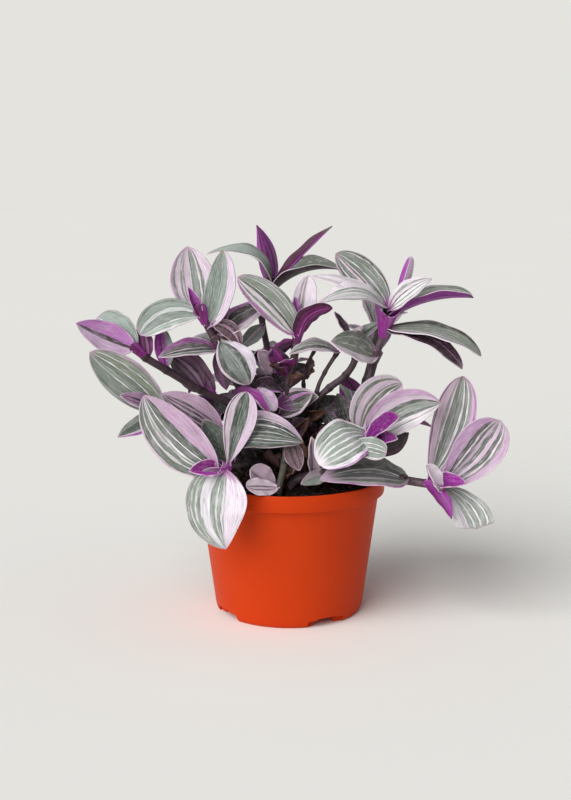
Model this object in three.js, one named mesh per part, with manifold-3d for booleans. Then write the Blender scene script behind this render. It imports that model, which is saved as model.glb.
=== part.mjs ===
// A potted tradescantia with striped leaves: a thin-walled nursery pot, the soil in it, the
// branching stems rooted in the soil and the leaves that clasp the stems. Sizes are millimetres,
// +Z is up, and the origin is the middle of the pot's foot on the ground. -Y is the front.
import * as THREE from "three";
import { mergeVertices } from "three/addons/utils/BufferGeometryUtils.js";
import Module from "manifold-3d";

const wasm = await Module();
wasm.setup();

// ---- driving dimensions ----
const GAP = 0.3; // left between pieces that touch on the real plant

const POT_HEIGHT = 86;
const RIM_RADIUS = 60;
const BAND_HEIGHT = 10; // the upright band below the rim
const STEP_HEIGHT = 4; // the slope under the band, down to the wall
const WALL_TOP_RADIUS = 55.7;
const WALL_FOOT_RADIUS = 46.4;
const POT_WALL = 1.4;
const FOOT_HEIGHT = 4.5; // the floor stands this far above the ground
const FOOT_RING_WIDTH = 4;
const POT_SIDES = 40;

const BAND_TAPER = 0.5;
const FOOT_TUCK = 1.8; // the foot ring stands this far inside the wall
const EDGE = 0.6; // the rounding of the moulded edges

const NOTCH_COUNT = 4;
const NOTCH_FIRST_ANGLE = 30; // degrees from the front towards the right
const NOTCH_WIDTH = 14; // right through the foot ring
const NOTCH_HEIGHT = 3.8;
const RELIEF_WIDTH = 25; // the shallow recess round each notch
const RELIEF_HEIGHT = 2.8;
const RELIEF_DEPTH = 1.4;
const DRAIN_RADIUS = 4;
const DRAIN_CIRCLE = 30;

const SOIL_EDGE_HEIGHT = 79;
const SOIL_MOUND_HEIGHT = 97;
const FLOOR_TOP = FOOT_HEIGHT + POT_WALL; // where the soil begins

const STEM_SIDES = 7;
const STEM_STEPS_PER_POINT = 2;

const LEAF_THICKNESS = 1;
const LEAF_ROWS = 6; // along the midrib
const LEAF_COLUMNS = 4; // from margin to margin
const LEAF_FOOT_WIDTH = 3; // where the blade joins its stem
const LEAF_TIP_WIDTH = 0.8;
const LEAF_RISE = 0.65; // how fast the blade widens from its foot
const LEAF_TAPER = 0.8; // how fast it narrows to its tip

// ---- materials ----
const plastic = () => new THREE.MeshStandardMaterial({ color: 0xc8471f, roughness: 0.45, metalness: 0 });
const peat = () => new THREE.MeshStandardMaterial({ color: 0x2a1f18, roughness: 1, metalness: 0 });
const bark = () => new THREE.MeshStandardMaterial({ color: 0x5d4148, roughness: 0.6, metalness: 0 });
const blade = () => new THREE.MeshStandardMaterial({ color: 0x9fb0a2, roughness: 0.5, metalness: 0 });

// ---- solids ----
const radians = THREE.MathUtils.degToRad;

function toSolid(geometry) {
  const bare = geometry.clone();
  bare.deleteAttribute("normal");
  bare.deleteAttribute("uv");
  const merged = mergeVertices(bare, 1e-4);
  const mesh = new wasm.Mesh({
    numProp: 3,
    vertProperties: new Float32Array(merged.attributes.position.array),
    triVerts: new Uint32Array(merged.index.array),
  });
  return new wasm.Manifold(mesh);
}

function toGeometry(solid) {
  const { vertProperties, triVerts } = solid.getMesh();
  const geometry = new THREE.BufferGeometry();
  geometry.setAttribute("position", new THREE.BufferAttribute(vertProperties, 3));
  geometry.setIndex(new THREE.BufferAttribute(triVerts, 1));
  geometry.computeVertexNormals();
  return geometry;
}

const largestOf = (solid) => solid.decompose().sort((a, b) => b.volume() - a.volume())[0];

// ---- pot ----
// One moulded wall turned about the pot's axis: foot ring, raised floor, tapered wall, the step
// out to the rim band, and the same way back down inside.
const bandFoot = POT_HEIGHT - BAND_HEIGHT;
const wallTop = bandFoot - STEP_HEIGHT;
const footOuter = WALL_FOOT_RADIUS - FOOT_TUCK;

function turned(profile) {
  const points = profile.map(([radius, height]) => new THREE.Vector2(radius, height));
  const geometry = new THREE.LatheGeometry(points, POT_SIDES);
  return toSolid(geometry.rotateX(Math.PI / 2));
}

function potSolid() {
  let pot = turned([
    [0, FOOT_HEIGHT],
    [footOuter - FOOT_RING_WIDTH, FOOT_HEIGHT],
    [footOuter - FOOT_RING_WIDTH, 0],
    [footOuter, 0],
    [WALL_FOOT_RADIUS - EDGE, 2 * EDGE],
    [WALL_FOOT_RADIUS, 6 * EDGE],
    [WALL_TOP_RADIUS, wallTop],
    [RIM_RADIUS - BAND_TAPER, bandFoot],
    [RIM_RADIUS, POT_HEIGHT - EDGE],
    [RIM_RADIUS - EDGE, POT_HEIGHT],
    [RIM_RADIUS - POT_WALL, POT_HEIGHT],
    [RIM_RADIUS - BAND_TAPER - POT_WALL, bandFoot + EDGE],
    [WALL_TOP_RADIUS - POT_WALL, wallTop + EDGE],
    [WALL_FOOT_RADIUS - POT_WALL, FLOOR_TOP + 3 * EDGE],
    [WALL_FOOT_RADIUS - POT_WALL - 2 * EDGE, FLOOR_TOP],
    [0, FLOOR_TOP],
  ]);
  for (let i = 0; i < NOTCH_COUNT; i++) {
    const angle = radians(NOTCH_FIRST_ANGLE + (i * 360) / NOTCH_COUNT - 90);
    pot = pot.subtract(footCutter(angle, NOTCH_WIDTH, NOTCH_HEIGHT, 2 * FOOT_RING_WIDTH));
    pot = pot.subtract(footCutter(angle, RELIEF_WIDTH, RELIEF_HEIGHT, RELIEF_DEPTH));
    pot = pot.subtract(drainCutter(angle));
  }
  return pot;
}

// A straight cut up into the foot ring, "depth" inwards from the ring's outer edge.
function footCutter(angle, width, height, depth) {
  const half = width / 2;
  const outward = 10; // far enough past the outside of the wall
  const outline = new THREE.Shape();
  outline.moveTo(-half, -1);
  outline.lineTo(half, -1);
  outline.lineTo(half, height - EDGE);
  outline.lineTo(half - EDGE, height);
  outline.lineTo(EDGE - half, height);
  outline.lineTo(-half, height - EDGE);
  const cutter = new THREE.ExtrudeGeometry(outline, { depth: depth + outward, bevelEnabled: false });
  cutter.rotateX(Math.PI / 2).rotateZ(Math.PI / 2);
  cutter.translate(Math.sqrt(footOuter ** 2 - half ** 2) - depth, 0, 0).rotateZ(angle);
  return toSolid(cutter);
}

function drainCutter(angle) {
  const sides = 12;
  const hole = new THREE.CylinderGeometry(DRAIN_RADIUS, DRAIN_RADIUS, 2 * FOOT_HEIGHT, sides);
  hole.rotateX(Math.PI / 2).translate(DRAIN_CIRCLE, 0, FLOOR_TOP).rotateZ(angle);
  return toSolid(hole);
}

// ---- soil ----
// The root ball fills the pot to just under the rim and is mounded in the middle.
function soilSolid() {
  const inset = POT_WALL + GAP;
  const footRadius = WALL_FOOT_RADIUS - inset - 2 * EDGE;
  const topRadius = RIM_RADIUS - BAND_TAPER - inset - EDGE;
  return turned([
    [0, FLOOR_TOP + GAP],
    [footRadius - EDGE, FLOOR_TOP + GAP],
    [footRadius + EDGE, FLOOR_TOP + 5 * EDGE],
    [WALL_TOP_RADIUS - inset, wallTop + EDGE],
    [topRadius, SOIL_EDGE_HEIGHT - 2 * EDGE],
    [topRadius - EDGE, SOIL_EDGE_HEIGHT],
    [0.77 * topRadius, SOIL_EDGE_HEIGHT + 2],
    [0.5 * topRadius, SOIL_EDGE_HEIGHT + 8],
    [0.24 * topRadius, SOIL_MOUND_HEIGHT - 3],
    [0, SOIL_MOUND_HEIGHT],
  ]);
}

// ---- stems ----
// Each rooted cutting is one solid: its routes are the centre lines of its branches, from below
// the soil to the growing tip.
const stems = {
  top: {
    radius: 2.1,
    routes: [[[-4, 12, 84], [-8, 12, 122], [-13, 12, 159], [-17, 12, 183], [-14, 12, 196], [-11, 12, 203]]],
  },
  left: {
    radius: 2.5,
    routes: [
      [[-10, -8, 78], [-18, -12, 108], [-27, -12, 135], [-37, -12, 155], [-43, -12, 168], [-54, -12, 189]],
      [[-18, -12, 108], [-33, -14, 131], [-54, -18, 142], [-74, -22, 155], [-86, -25, 163], [-92, -26, 169]],
    ],
  },
  center: {
    radius: 2.7,
    routes: [[[-3, 0, 84], [-4, -2, 110], [-1, -3, 143], [2, -4, 155], [4, -5, 166], [5, -5, 175]]],
  },
  upper_right: {
    radius: 2.7,
    routes: [[[32, -4, 76], [37, -7, 105], [47, -8, 139], [53, -8, 161], [57, -8, 175], [60, -8, 193]]],
  },
  mid_right: {
    radius: 2.3,
    routes: [
      [[12, 2, 84], [14, 2, 112], [17, 2, 131], [25, 2, 140], [35, 2, 148], [41, 2, 159], [39, 4, 173]],
      [[14, 2, 108], [17, 0, 137], [22, 0, 150], [30, 0, 163]],
      [[14, 2, 108], [9, 7, 141], [11, 8, 153], [16, 8, 163]],
    ],
  },
  front_left: {
    radius: 2.4,
    routes: [
      [[-15, -24, 76], [-21, -36, 97], [-30, -50, 103], [-40, -59, 103]],
      [[-18, -29, 86], [-26, -28, 105], [-40, -34, 120], [-58, -38, 128], [-75, -42, 134]],
    ],
  },
  front: {
    radius: 2.4,
    routes: [[[-9, -44, 72], [-7, -45, 84], [-3, -44, 103], [-1, -42, 117]]],
  },
  front_right: {
    radius: 2.5,
    routes: [[[28, -18, 76], [34, -26, 100], [40, -32, 110], [47, -34, 117]]],
  },
  right: {
    radius: 2.7,
    routes: [
      [[-2, -32, 78], [4, -35, 90], [20, -35, 95], [38, -31, 96], [70, -26, 88], [92, -33, 86]],
    ],
  },
  back_left: {
    radius: 2.4,
    routes: [[[-20, 16, 76], [-30, 30, 102], [-42, 44, 113], [-54, 58, 112]]],
  },
  back_right: {
    radius: 2.4,
    routes: [
      [[18, 18, 76], [30, 32, 100], [42, 46, 108], [52, 60, 106]],
      [[18, 18, 76], [10, 40, 104], [2, 58, 108]],
    ],
  },
};

const point = ([x, y, z]) => new THREE.Vector3(x, y, z);

function lengthen(end, neighbour, by) {
  end.addScaledVector(end.clone().sub(neighbour).normalize(), by);
}

function stemSolid({ radius, routes }, growth = 0) {
  const section = new THREE.Shape();
  for (let i = 0; i < STEM_SIDES; i++) {
    const angle = (i * 2 * Math.PI) / STEM_SIDES;
    const x = (radius + growth) * Math.cos(angle);
    const y = (radius + growth) * Math.sin(angle);
    if (i === 0) section.moveTo(x, y);
    else section.lineTo(x, y);
  }
  const branches = routes.map((route) => {
    const knots = route.map(point);
    lengthen(knots[0], knots[1], growth);
    lengthen(knots.at(-1), knots.at(-2), growth);
    const extrudePath = new THREE.CatmullRomCurve3(knots);
    const steps = (route.length - 1) * STEM_STEPS_PER_POINT;
    return toSolid(new THREE.ExtrudeGeometry(section, { steps, extrudePath }));
  });
  return branches.reduce((joined, branch) => joined.add(branch));
}

// ---- leaves ----
// A leaf springs from "at" on its stem and ends at "tip". "faces" is the way its upper side looks,
// "arch" how far the midrib bows towards that side, "sway" how far it bows sideways, "fold" how
// many degrees each half is lifted, as in a boat, and "taper" how slowly a blunt leaf narrows.
const leaves = {
  top: [
    { at: [-11, 12, 200], tip: [-20, 10, 240], faces: [-2, 9, 2], width: 13, sway: -3, fold: 50 },
    { at: [-10, 12, 202], tip: [26, 0, 240], faces: [-4, 7, 5], width: 10, arch: 1, fold: 45 },
    { at: [-11, 12, 198], tip: [31, -6, 215], faces: [0, -2, 9], width: 18, arch: 6, fold: 35 },
    { at: [-12, 12, 198], tip: [-50, 0, 223], faces: [-1, -4, 8], width: 15, arch: 16, fold: 20 },
  ],
  upper_left: [
    { at: [-55, -11, 188], tip: [-62, -4, 228], faces: [1, -9, 1], width: 27, arch: -2, fold: 12 },
    { at: [-50, -13, 179], tip: [-40, -6, 226], faces: [-3, -9, 1], width: 19, sway: 4, fold: 15 },
    { at: [-53, -13, 187], tip: [-89, -27, 177], faces: [-1, -9, 3], width: 20, sway: 7, fold: 12, taper: 0.5 },
    { at: [-46, -12, 175], tip: [-13, -10, 194], faces: [-1, -8, 5], width: 15, fold: 20 },
    { at: [-42, -14, 171], tip: [-24, -24, 147], faces: [3, -9, 3], width: 21, arch: 3, fold: 10 },
    { at: [-44, -13, 166], tip: [-78, -30, 164], faces: [0, -7, 7], width: 14, arch: 5, fold: 15 },
  ],
  center: [
    { at: [4, -7, 174], tip: [-31, -20, 211], faces: [-4, -8, 4], width: 18, arch: 1, sway: 4, fold: 12 },
    { at: [7, -8, 173], tip: [25, -18, 191], faces: [-4, 4, 8], width: 16, arch: 9, fold: 20 },
    { at: [5, -3, 175], tip: [11, 8, 211], faces: [0, -9, 1], width: 14, fold: 15 },
  ],
  upper_right: [
    { at: [60, -8, 192], tip: [28, -8, 224], faces: [-3, -8, 4], width: 21, sway: 2, fold: 15 },
    { at: [58, -10, 184], tip: [18, -22, 196], faces: [0, -5, 8], width: 16, arch: 10, fold: 12 },
    { at: [65, -7, 191], tip: [74, -4, 222], faces: [2, 9, 0], width: 10, fold: 50 },
    { at: [61, -10, 190], tip: [85, -20, 210], faces: [-2, -7, 6], width: 13, arch: 3, fold: 20 },
    { at: [60, -8, 184], tip: [111, -14, 198], faces: [0, -2, 9], width: 20, arch: 5, fold: 38 },
    { at: [58, -9, 177], tip: [116, -20, 165], faces: [0, -3, 9], width: 18, arch: 6, fold: 15 },
  ],
  mid_right: [
    { at: [53, -9, 161], tip: [25, -20, 172], faces: [-1, -7, 7], width: 24, arch: 2, fold: 10 },
    { at: [30, 0, 162], tip: [0, -10, 163], faces: [0, -5, 8], width: 13, arch: 6, fold: 12 },
  ],
  left: [
    { at: [-92, -26, 168], tip: [-126, -34, 185], faces: [1, -9, 4], width: 17, arch: -2, fold: 15 },
    { at: [-91, -25, 169], tip: [-116, -14, 186], faces: [2, -9, 2], width: 22, arch: 2, fold: 10 },
    { at: [-46, -17, 139], tip: [-72, -10, 170], faces: [3, 9, 2], width: 17, fold: 15 },
  ],
  low_left: [
    { at: [-74, -42, 134], tip: [-116, -50, 170], faces: [-1, -8, 5], width: 25, fold: 12 },
    { at: [-41, -35, 121], tip: [-76, -42, 144], faces: [2, -8, 5], width: 20, arch: 2, fold: 12 },
  ],
  front_left: [
    { at: [-41, -61, 102], tip: [-84, -58, 146], faces: [-1, -9, 3], width: 30, sway: -5, fold: 12 },
    { at: [-36, -57, 104], tip: [-25, -46, 146], faces: [1, -9, 1], width: 18, fold: 8 },
    { at: [-38, -60, 102], tip: [-37, -68, 57], faces: [0, -9, 4], width: 36, arch: 5, sway: 5, fold: 8 },
  ],
  front: [
    { at: [-35, -31, 115], tip: [8, -48, 116], faces: [0, -7, 6], width: 26, arch: 10, fold: 12 },
    { at: [-6, -5, 124], tip: [14, -12, 139], faces: [0, -8, 5], width: 13, arch: -2, fold: 15 },
  ],
  front_right: [
    { at: [46, -35, 117], tip: [17, -52, 104], faces: [-1, -8, 5], width: 30, arch: 9, fold: 10 },
    { at: [43, -33, 117], tip: [68, -24, 147], faces: [1, -9, 1], width: 28, sway: -6, fold: 12 },
    { at: [47, -35, 116], tip: [90, -34, 137], faces: [-1, -9, 4], width: 26, arch: 2, sway: -5, fold: 15 },
  ],
  right: [
    { at: [70, -27, 88], tip: [18, -50, 94], faces: [0, -6, 8], width: 23, arch: 7, fold: 10 },
    { at: [84, -30, 88], tip: [105, -20, 151], faces: [0, -9, 1], width: 30, sway: 3, fold: 18 },
    { at: [92, -34, 86], tip: [125, -42, 128], faces: [-1, -9, 3], width: 29, sway: 2, fold: 18 },
    { at: [91, -33, 86], tip: [116, -50, 65], faces: [3, -8, 3], width: 24, sway: 1, fold: 12, taper: 0.5 },
  ],
  back_left: [
    { at: [-55, 58, 112], tip: [-86, 66, 111], faces: [-2, 3, 9], width: 24, arch: 6, fold: 12 },
    { at: [-51, 56, 113], tip: [-18, 69, 122], faces: [1, 3, 9], width: 20, arch: 6, fold: 15 },
    { at: [-52, 58, 110], tip: [-56, 69, 66], faces: [-2, 9, 3], width: 24, arch: 5, fold: 10 },
    { at: [-42, 44, 112], tip: [-66, 28, 128], faces: [-1, 3, 9], width: 18, arch: 5, fold: 15 },
  ],
  back_right: [
    { at: [53, 59, 106], tip: [86, 66, 103], faces: [2, 3, 9], width: 24, arch: 6, fold: 12 },
    { at: [50, 57, 107], tip: [36, 70, 137], faces: [0, 9, 1], width: 20, arch: 6, fold: 15 },
    { at: [50, 60, 105], tip: [44, 70, 58], faces: [2, 9, 3], width: 24, arch: 5, fold: 10 },
    { at: [3, 58, 108], tip: [31, 68, 112], faces: [1, 4, 8], width: 22, arch: 6, fold: 12 },
    { at: [1, 57, 107], tip: [-6, 70, 62], faces: [0, 9, 3], width: 23, arch: 4, fold: 10 },
  ],
};

function halfWidth({ width, taper = LEAF_TAPER }, v) {
  const outlineAt = (share) => share ** LEAF_RISE * (1 - share) ** taper;
  const widest = LEAF_RISE / (LEAF_RISE + taper);
  const blade = (width / 2) * (outlineAt(v) / outlineAt(widest));
  const least = THREE.MathUtils.lerp(LEAF_FOOT_WIDTH, LEAF_TIP_WIDTH, v) / 2;
  return Math.max(blade, least);
}

// A flat grid box is bent into the leaf: x runs from margin to margin, y along the midrib and z
// through the blade.
function leafSolid(leaf, growth = 0) {
  const foot = point(leaf.at);
  const chord = point(leaf.tip).sub(foot);
  const forward = chord.clone().normalize();
  const up = point(leaf.faces).projectOnPlane(forward).normalize();
  const across = forward.clone().cross(up);
  const { arch = 0, sway = 0, fold } = leaf;
  const lift = radians(fold);
  const reach = growth / chord.length();

  const box = new THREE.BoxGeometry(2, 1, 1, LEAF_COLUMNS, LEAF_ROWS, 1);
  const position = box.attributes.position;
  for (let i = 0; i < position.count; i++) {
    const u = position.getX(i);
    const v = position.getY(i) + 0.5;
    const bow = 4 * v * (1 - v);
    const along = THREE.MathUtils.lerp(-reach, 1 + reach, v);
    const midrib = foot.clone().addScaledVector(chord, along);
    midrib.addScaledVector(up, arch * bow).addScaledVector(across, sway * bow);

    const tangent = chord.clone();
    const slope = 4 * (1 - 2 * v);
    tangent.addScaledVector(up, arch * slope).addScaledVector(across, sway * slope).normalize();
    const normal = up.clone().projectOnPlane(tangent).normalize();
    const side = tangent.clone().cross(normal);

    const half = halfWidth(leaf, v) + growth;
    const layer = position.getZ(i) * (LEAF_THICKNESS + 2 * growth);
    midrib.addScaledVector(side, u * half * Math.cos(lift));
    midrib.addScaledVector(normal, Math.abs(u) ** 1.5 * half * Math.sin(lift) + layer);
    position.setXYZ(i, midrib.x, midrib.y, midrib.z);
  }
  return toSolid(box);
}

// ---- assembly ----
const plant = new THREE.Group();

function addPiece(name, solid, material) {
  const mesh = new THREE.Mesh(toGeometry(solid), material);
  mesh.name = name;
  plant.add(mesh);
}

// What is placed first keeps its shape: what comes later is cut back to clear it.
const placed = [];
function clearOfPlaced(solid) {
  return placed.reduce((rest, other) => rest.subtract(other), solid);
}

const pot = potSolid();
addPiece("pot", pot, plastic());
placed.push(pot);

let soil = soilSolid();
for (const [name, stem] of Object.entries(stems)) {
  const grown = stemSolid(stem, GAP);
  addPiece(`stem_${name}`, largestOf(clearOfPlaced(stemSolid(stem))), bark());
  placed.push(grown);
  soil = soil.subtract(grown);
}
addPiece("soil", largestOf(soil), peat());
placed.push(soil);

for (const [shoot, group] of Object.entries(leaves)) {
  group.forEach((leaf, index) => {
    const cut = largestOf(clearOfPlaced(leafSolid(leaf)));
    addPiece(`leaf_${shoot}_${index + 1}`, cut, blade());
    placed.push(leafSolid(leaf, GAP));
  });
}

export default plant;
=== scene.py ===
import math
import random

import bpy
from mathutils import Euler, Matrix, Vector, noise


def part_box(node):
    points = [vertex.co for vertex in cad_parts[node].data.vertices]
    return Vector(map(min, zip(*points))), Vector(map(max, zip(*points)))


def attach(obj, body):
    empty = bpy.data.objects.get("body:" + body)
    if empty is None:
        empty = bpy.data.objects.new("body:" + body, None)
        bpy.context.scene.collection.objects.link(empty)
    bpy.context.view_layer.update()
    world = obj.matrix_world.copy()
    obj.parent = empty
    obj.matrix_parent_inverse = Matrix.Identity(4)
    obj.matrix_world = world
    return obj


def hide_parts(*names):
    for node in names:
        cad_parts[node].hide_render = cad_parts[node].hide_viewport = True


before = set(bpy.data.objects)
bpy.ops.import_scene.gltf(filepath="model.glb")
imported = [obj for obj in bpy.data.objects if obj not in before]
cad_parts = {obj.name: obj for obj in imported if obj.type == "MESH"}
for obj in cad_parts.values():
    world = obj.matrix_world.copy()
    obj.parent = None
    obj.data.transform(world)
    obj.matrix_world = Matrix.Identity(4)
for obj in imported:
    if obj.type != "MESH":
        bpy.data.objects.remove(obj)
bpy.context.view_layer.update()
bpy.ops.object.select_all(action="DESELECT")

# ---- pot ----
# A nursery pot, injection moulded in orange polypropylene with a wall of 1.4 mm. It has a foot ring
# with four notches, a tapered wall, a short step and an upright rim band with a rounded lip.
mm = 0.001
pot_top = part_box("pot")[1]
rim_radius = pot_top.x
rim_height = pot_top.z
pot_wall = 1.4 * mm
band_foot = rim_height - 10 * mm
wall_top = band_foot - 4 * mm
wall_top_radius = rim_radius - 4.3 * mm
wall_foot_radius = rim_radius - 13.6 * mm
foot_radius = wall_foot_radius - 1.8 * mm
foot_ring = 4 * mm
floor_height = 4.5 * mm
floor_top = floor_height + pot_wall
moulded_edge = 0.35 * mm
drain_radius = 4 * mm
drain_place = 30 * mm


def turned(name, profile, sides):
    """A closed round solid, ring by ring from its flat underside; profile is (radius, height) pairs."""
    (radius, height), *rings = profile
    bpy.ops.mesh.primitive_circle_add(
        vertices=sides, radius=radius, fill_type="NGON", location=(0, 0, height)
    )
    solid = bpy.context.object
    solid.name = name
    bpy.ops.object.transform_apply()
    bpy.ops.object.mode_set(mode="EDIT")
    for wider, higher in rings:
        step = (0, 0, higher - height)
        bpy.ops.mesh.extrude_region_move(TRANSFORM_OT_translate={"value": step})
        grow = wider / radius
        bpy.ops.transform.resize(value=(grow, grow, 1), center_override=(0, 0, higher))
        radius, height = wider, higher
    bpy.ops.mesh.select_all(action="SELECT")
    bpy.ops.mesh.normals_make_consistent(inside=False)
    bpy.ops.object.mode_set(mode="OBJECT")
    return solid


pot = turned(
    "nursery_pot",
    [
        (foot_radius - foot_ring, floor_height),
        (foot_radius - foot_ring, moulded_edge),
        (foot_radius - foot_ring + moulded_edge, 0),
        (foot_radius - moulded_edge, 0),
        (foot_radius + moulded_edge, moulded_edge),
        (wall_foot_radius - 2 * moulded_edge, 1.5 * mm),
        (wall_foot_radius - 0.3 * moulded_edge, 3 * mm),
        (wall_foot_radius + moulded_edge, 5.5 * mm),
        (wall_top_radius - 0.1 * mm, wall_top - 0.6 * mm),
        (wall_top_radius + 0.3 * mm, wall_top + 1.6 * mm),
        (wall_top_radius + 0.9 * mm, wall_top + 2.7 * mm),
        (wall_top_radius + 2 * mm, band_foot - 0.7 * mm),
        (rim_radius - 1.2 * mm, band_foot - 0.5 * mm),
        (rim_radius - 0.6 * mm, band_foot - 0.1 * mm),
        (rim_radius - 0.4 * mm, band_foot + 0.6 * mm),
        (rim_radius, rim_height - 2 * moulded_edge),
        (rim_radius - 0.3 * moulded_edge, rim_height - 0.8 * moulded_edge),
        (rim_radius - moulded_edge, rim_height - 0.2 * moulded_edge),
        (rim_radius - 2 * moulded_edge, rim_height),
        (rim_radius - 3 * moulded_edge, rim_height - 0.2 * moulded_edge),
        (rim_radius - pot_wall, rim_height - moulded_edge),
        (rim_radius - pot_wall - 0.4 * mm, band_foot + 0.6 * mm),
        (wall_top_radius - pot_wall, wall_top + 0.6 * mm),
        (wall_foot_radius - pot_wall, floor_top + 2 * mm),
        (wall_foot_radius - pot_wall - 1.2 * mm, floor_top),
    ],
    sides=160,
)


def select_only(*pieces):
    """Selects these pieces and nothing else, and makes the first one active."""
    bpy.ops.object.select_all(action="DESELECT")
    for piece in pieces:
        piece.select_set(True)
    bpy.context.view_layer.objects.active = pieces[0]


def cut_away(solid, cutter):
    """Subtracts the cutter from the solid and throws the cutter away."""
    cut = solid.modifiers.new("cut", "BOOLEAN")
    cut.operation = "DIFFERENCE"
    cut.object = cutter
    with bpy.context.temp_override(object=solid):
        bpy.ops.object.modifier_apply(modifier=cut.name)
    bpy.data.objects.remove(cutter)


def round_edges(solid, width, segments=1):
    """Rounds all edges of the active solid."""
    edges = solid.modifiers.new("rounded", "BEVEL")
    edges.width = width
    edges.segments = segments
    bpy.ops.object.modifier_apply(modifier=edges.name)


# Each notch goes right through the foot ring, inside a wider and shallower recess, and each has a
# drain hole in the floor behind it. Widths, heights and depths are in millimetres.
through_notch = (14, 5.2, 8)
recess = (25, 4.2, 1.4)
cutter_length = 20
for angle in [math.radians(30 + 90 * i - 90) for i in range(4)]:
    for width, height, depth in (through_notch, recess):
        reach = math.sqrt((foot_radius / mm) ** 2 - (width / 2) ** 2) - depth
        middle = (reach + cutter_length / 2) * mm
        bpy.ops.mesh.primitive_cube_add(
            size=1,
            location=(middle * math.cos(angle), middle * math.sin(angle), 0),
            rotation=(0, 0, angle),
            scale=(cutter_length * mm, width * mm, 2 * height * mm),
        )
        round_edges(bpy.context.object, 0.9 * mm, segments=3)
        cut_away(pot, bpy.context.object)
    bpy.ops.mesh.primitive_cylinder_add(
        vertices=32,
        radius=drain_radius,
        depth=2 * floor_height,
        location=(drain_place * math.cos(angle), drain_place * math.sin(angle), floor_top),
    )
    cut_away(pot, bpy.context.object)
select_only(pot)
bpy.ops.object.shade_smooth_by_angle(angle=math.radians(40))


def colour(code):
    """An sRGB hex colour as linear red, green, blue and alpha."""
    parts = [int(code[i : i + 2], 16) / 255 for i in (0, 2, 4)]
    linear = [p / 12.92 if p <= 0.04045 else ((p + 0.055) / 1.055) ** 2.4 for p in parts]
    return (*linear, 1)


def feed(target, inputs):
    """Gives a node's sockets their values, or joins them to the nodes or sockets that feed them."""
    for key, value in inputs.items():
        if isinstance(value, bpy.types.Node):
            value = next(socket for socket in value.outputs if socket.enabled)
        if isinstance(value, bpy.types.NodeSocket):
            target.id_data.links.new(value, target.inputs[key])
        else:
            target.inputs[key].default_value = value


def node(material, kind, inputs=(), **settings):
    """Adds a node with its settings; inputs go by socket name, or stand in the order of the sockets."""
    made = material.node_tree.nodes.new("ShaderNode" + kind)
    for key, value in settings.items():
        setattr(made, key, value)
    feed(made, inputs if isinstance(inputs, dict) else dict(enumerate(inputs)))
    return made


def new_material(name):
    """An empty node material and its surface shader."""
    material = bpy.data.materials.new(name)
    material.use_nodes = True
    return material, material.node_tree.nodes["Principled BSDF"]


# Moulded polypropylene: satin, with a fine orange-peel skin and a dye that is slightly uneven over
# some 35 mm.
def moulded_polypropylene():
    material, shader = new_material("moulded_polypropylene")
    place = node(material, "TexCoord").outputs["Object"]
    clouds = node(material, "TexNoise", {"Vector": place, "Scale": 28, "Detail": 3})
    dyes = {"Factor": clouds, "A": colour("c03608"), "B": colour("cc4010")}
    dye = node(material, "Mix", dyes, data_type="RGBA")
    gloss = node(material, "MapRange", [clouds, 0, 1, 0.42, 0.54])
    # The peel of real moulded skin is about 0.4 mm across.
    peel = node(material, "TexNoise", {"Vector": place, "Scale": 2500, "Detail": 2})
    bump = node(material, "Bump", {"Height": peel, "Strength": 0.12, "Distance": 0.2 * mm})
    shader.inputs["IOR"].default_value = 1.49
    shader.inputs["Specular IOR Level"].default_value = 0.1
    feed(shader, {"Base Color": dye, "Roughness": gloss, "Normal": bump})
    return material


pot.data.materials.append(moulded_polypropylene())
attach(pot, "root")
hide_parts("pot")

# ---- potting soil ----
# The root ball: damp peat that fills the pot to just under the rim and is mounded round the stems.
# Loose crumbs, bark chips and dead roots lie on it.
# The outline of the mound: distances from the middle and heights, in millimetres.
mound = [(57.2, 79), (45, 81), (28.7, 87), (13.8, 94), (0, 97)]
mound_radius = mound[0][0]
mound_rings = 40


def mound_height(reach):
    """The height of the soil, in millimetres, this many millimetres from the middle."""
    for (outer, low), (inner, high) in zip(mound, mound[1:]):
        if reach >= inner:
            return high + (low - high) * min(1, (reach - inner) / (outer - inner))


soil_foot_radius = wall_foot_radius - pot_wall - 1.8 * mm
soil_reaches = [mound_radius * (1 - i / mound_rings) for i in range(mound_rings)]
soil = turned(
    "potting_soil",
    [
        (soil_foot_radius, floor_top + 0.3 * mm),
        (soil_foot_radius + 0.9 * mm, floor_top + 3 * mm),
        (wall_top_radius - pot_wall - 0.4 * mm, wall_top),
        (mound_radius * mm, 77 * mm),
    ]
    + [(reach * mm, mound_height(reach) * mm) for reach in soil_reaches],
    sides=120,
)
# Lumps of about 7 mm and clods of about 2 mm roughen the top, but not the side inside the pot.
for vertex in soil.data.vertices:
    if vertex.co.z > 78.5 * mm:
        lumps = noise.noise(vertex.co * 140)
        clods = noise.noise(vertex.co * 520)
        vertex.co.z += (1.1 * lumps + 0.7 * clods) * mm


# Peat: black when damp, brown where the top has dried, matt all over. The dry patches are about
# 17 mm across and the grains 1 mm.
def damp_peat(name, damp, dry):
    material, shader = new_material(name)
    place = node(material, "TexCoord").outputs["Object"]
    patches = node(material, "TexNoise", {"Vector": place, "Scale": 60, "Detail": 4})
    grains = node(material, "TexNoise", {"Vector": place, "Scale": 900, "Detail": 3})
    both = node(material, "Math", [patches, grains], operation="MULTIPLY")
    dryness = node(material, "MapRange", [both, 0.14, 0.4])
    dye = node(
        material, "Mix", {"Factor": dryness, "A": colour(damp), "B": colour(dry)}, data_type="RGBA"
    )
    bump = node(material, "Bump", {"Height": grains, "Strength": 0.7, "Distance": 0.8 * mm})
    shader.inputs["Roughness"].default_value = 0.95
    shader.inputs["Specular IOR Level"].default_value = 0.2
    feed(shader, {"Base Color": dye, "Normal": bump})
    return material


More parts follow.
